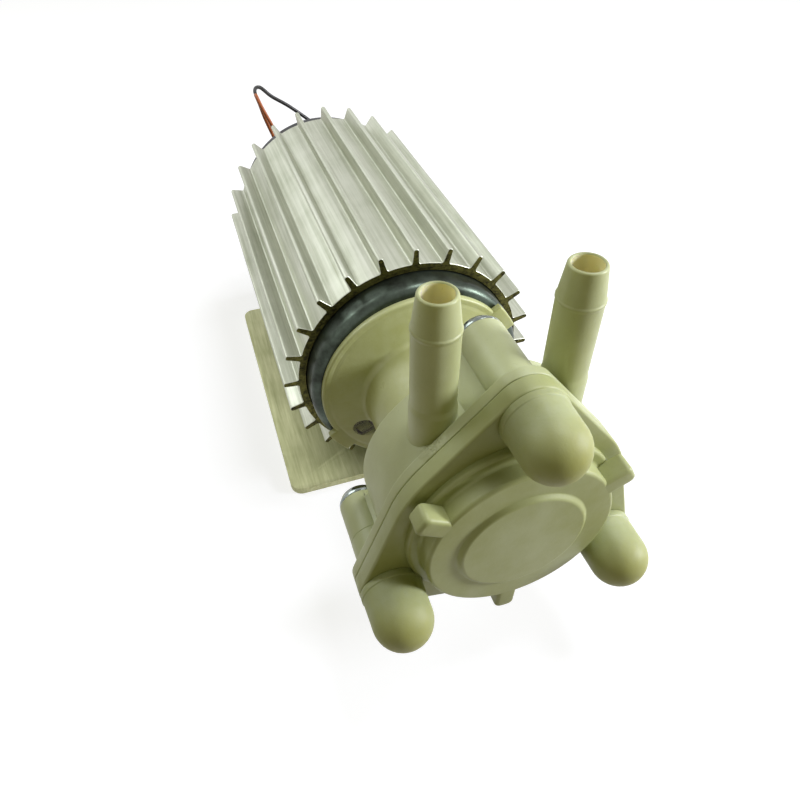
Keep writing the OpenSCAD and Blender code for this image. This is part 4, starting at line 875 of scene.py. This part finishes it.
def make_front_housing():
    """Flange, collar, barrel with its raised disc, and three lugs fused, less the chamber, the screw holes
    and the notches round the caps."""
    plate = edged(flange, FLANGE_FRONT, SEAM - 0.06, 0.25, 0.45, place=on_head)
    barrel = turned([
        [0, -49.5, 0], [COLLAR_R, -49.5, 0], [COLLAR_R, COLLAR_FRONT, 0.7], [BARREL_R, COLLAR_FRONT, 0.6],
        [BARREL_R, BARREL_FRONT, 0.75], [DISC_R + 0.75, BARREL_FRONT, 0.5], [DISC_R, DISC_FRONT, 0.8],
        [0, DISC_FRONT, 0]
    ], 160, "poles", place=on_head, steps=6)
    shells = [plate, barrel]
    for a in LUGS:
        shells.append(edged(lambda d: turn_flat(lug(d), a), BARREL_FRONT, LUG_BACK, 0.5, 0.75, place=on_head))
    notch = [
        [0, -60, 0], [5.95, -60, 0], [5.95, FLANGE_FRONT - 0.04, 0], [CLAMP_HOLE_R, FLANGE_FRONT - 0.04, 0],
        [CLAMP_HOLE_R, -48, 0], [0, -48, 0]
    ]
    holes = [turned(notch, 64, "poles", place=on_head, centre=boss_centre(boss)) for boss in BOSSES]
    for z in (-HEAD_RISE, HEAD_RISE):
        holes.append(drill(CHAMBER_R, CHAMBER_FRONT, -48, 64, place=on_head, centre=(0, z)))
    piece = moulded("front_moulding", shells, holes)
    finished(piece, IVORY_HEAD, ["front_housing"], sharp=32)


# Caps and clamp screws

CAP_R, CAP_BORE = 5.5, 4.6
DOME_Y = -58.7


def make_caps():
    """Each cap is a turned shell: a short foot with a faint step, straight walls and a round end, hollow."""
    q = np.linspace(0, math.pi / 2, 13)
    outer = [[CAP_R * math.cos(a), DOME_Y - CAP_R * math.sin(a), 0] for a in q]
    inner = [[CAP_BORE * math.cos(a), DOME_Y - CAP_BORE * math.sin(a), 0] for a in q[::-1]]
    profile = [
        [4.85, -52.12, 0], [5.75, -52.12, 0.12], [5.75, -53.3, 0.15], [5.6, -53.5, 0.1], [5.52, -57.0, 0],
        *outer[:-1], [0.02, DOME_Y - CAP_R, 0], [0.02, DOME_Y - CAP_BORE, 0], *inner[1:], [4.75, -57.0, 0]
    ]
    shells = [turned(profile, 72, place=on_head, centre=boss_centre(boss), steps=3) for boss in BOSSES]
    finished(new_object("cap_domes", shells), CAP_WAX, ["dome_caps"], sharp=50)


def make_clamp_screws():
    """Turned pan heads with a cross sunk in each, on plain shanks."""
    profile = [
        [0, -56.9, 0], [2.0, -56.9, 0.3], [2.0, BOSS_BACK, 0], [4.2, BOSS_BACK, 0.12], [4.2, -31.9, 0.3],
        [3.4, -30.5, 1.0], [2.2, -30.1, 1.5], [0, -30.1, 0]
    ]
    bar = np.array([[-2.3, -0.5], [2.3, -0.5], [2.3, 0.5], [-2.3, 0.5]])
    shells, holes = [], []
    for boss in BOSSES:
        middle = boss_centre(boss)
        shells.append(turned(profile, 56, "poles", place=on_head, centre=middle))
        for a in (0.4, 0.4 + math.pi / 2):
            groove = [turn_flat(bar * 0.7, a) + middle, turn_flat(bar, a) + middle]
            holes.append(carried(groove, [-31.4, -29.5], place=on_head))
    piece = new_object("bright_screws", shells)
    combined(piece, [new_object("cross", [h]) for h in holes], "DIFFERENCE")
    finished(piece, BRIGHT, ["clamp_screws"])


# Hose barbs

def at_barb(side):
    """A barb's upright axis, for profiles of radius, height over the head's centre and corner radius."""
    def place(p):
        """From the profile's own frame to the part's."""
        x, y, z = np.moveaxis(np.asarray(p), -1, 0)
        return np.stack([HEAD_X + side * BARB_X + x, SINK_Y + BARB_Y + z, HEAD_Z + y], -1)
    return place


def make_barb(side, name, node):
    """A turned tube with a thicker root, a soft ridge and a tapered nose, open down to the chamber."""
    profile = [
        [BARB_BORE, BARB_FOOT, 0], [3.95, BARB_FOOT, 0.1], [3.95, 22.6, 0.8], [3.75, 23.7, 0.8],
        [3.76, 37.2, 0.3], [3.89, 37.62, 0.12], [3.89, 37.88, 0.12], [3.72, 38.15, 0.25],
        [3.0, BARB_TOP, 0.42], [BARB_BORE, BARB_TOP, 0.3]
    ]
    piece = new_object(name, [turned(profile, place=at_barb(side))])
    finished(piece, IVORY, [node], sharp=40)

    def in_bore(x, y, z):
        """Whether points lie on the bore's wall, below the rounded rim."""
        across = np.hypot(x - HEAD_X - side * BARB_X, y - SINK_Y - BARB_Y)
        return (across < BARB_BORE + 0.05) & (z < HEAD_Z + BARB_TOP - 0.2)
    # The bore's wall gets the pale painted-light finish.
    dressed(piece, BORE, in_bore)


# Leads as tubes

def tube(line, radius, sides=12):
    """A round section carried along a line. At each point it lies in the plane of a side vector, which is
    the last one less its part along the line, and the cross product of that and the line's way."""
    way = np.gradient(line, axis=0)
    way /= np.linalg.norm(way, axis=1, keepdims=True)
    side, frames = np.array([0.6, 0.1, 0.8]), []
    for w in way:
        side = side - w * (side @ w)
        side /= np.linalg.norm(side)
        frames.append(side)
    side = np.array(frames)
    up = np.cross(way, side)
    a = np.arange(sides)[None, :, None] * FULL / sides
    return skin(line[:, None] + radius * (np.cos(a) * side[:, None] + np.sin(a) * up[:, None]), "poles")


def make_lead(name, knots, side, material, nodes):
    """One wire from its grommet to the connector, drawn as a tube along its whole line."""
    line = lead_line(knots, side)
    piece = new_object(name, [tube(line, WIRE_D / 2 - HAIR)])
    finished(piece, material, nodes, sharp=60)
    run = float(np.linalg.norm(np.diff(line, axis=0), axis=1).sum()) * MM


make_heat_sink()
make_can()
make_end_cap()
make_grommets()
make_bell()
make_rear_housing()
make_front_housing()
make_caps()
make_clamp_screws()
make_barb(-1, "inlet_tube", "inlet_barb")
make_barb(1, "outlet_tube", "outlet_barb")
softened("base_plate", "plate_sheet", 0.25, PLATE_SKIN)
softened("saddle_rails", "rail_bars", 0.2, PLATE_SKIN)
straps = softened("coil_ties", "coil_straps", 0.08, WHITE_TIE)
plug = softened("connector_housing", "plug_body", 0.2, WHITE_PLUG)
make_lead("orange_wire", ORANGE_ROUTE, -1, ORANGE_COVER, ["orange_lead", "orange_coil", "orange_tail"])
make_lead("black_wire", BLACK_ROUTE, 1, BLACK_COVER, ["black_lead", "black_coil", "black_tail"])


# Floor

FLOOR_HALF, FLOOR_Z = 3.0, -0.00005  # metres


def add_floor():
    """A wide pale sheet under the plate. The camera, gloss and clear pieces see it near white with the pump's
    shadow on it, and what it throws back up is the warm tone of a bench."""
    p = Paint("pale_paper", 0.9)
    p.to("Base Color", p.blend(p.noise(60, 3), (0.42, 0.42, 0.45, 1), (0.45, 0.45, 0.48, 1)))
    p.shader.inputs["Specular IOR Level"].default_value = 0
    p.shader.inputs["Emission Color"].default_value = (1, 1, 1, 1)
    p.shader.inputs["Emission Strength"].default_value = 0.72
    tone = p.blend(p.noise(40, 2), (0.22, 0.19, 0.05, 1), (0.28, 0.24, 0.06, 1))
    bench = p.add("BsdfDiffuse", {"Color": tone})
    rays = p.add("LightPath")
    seen = p.sum(p.sum(rays.outputs["Is Camera Ray"], rays.outputs["Is Glossy Ray"], "MAXIMUM"),
                 rays.outputs["Is Transmission Ray"], "MAXIMUM")
    mix = p.add("MixShader")
    p.links.new(seen, mix.inputs[0])
    p.links.new(bench.outputs[0], mix.inputs[1])
    p.links.new(p.shader.outputs[0], mix.inputs[2])
    out = next(n for n in p.nodes if n.type == "OUTPUT_MATERIAL")
    p.links.new(mix.outputs[0], out.inputs["Surface"])
    corners = [(-FLOOR_HALF, -FLOOR_HALF), (FLOOR_HALF, -FLOOR_HALF), (FLOOR_HALF, FLOOR_HALF),
               (-FLOOR_HALF, FLOOR_HALF)]
    data = bpy.data.meshes.new("floor")
    data.from_pydata([(x, y, FLOOR_Z) for x, y in corners], [], [(0, 1, 2, 3)])
    data.materials.append(p.material)
    floor = bpy.data.objects.new("floor", data)
    bpy.context.scene.collection.objects.link(floor)


add_floor()
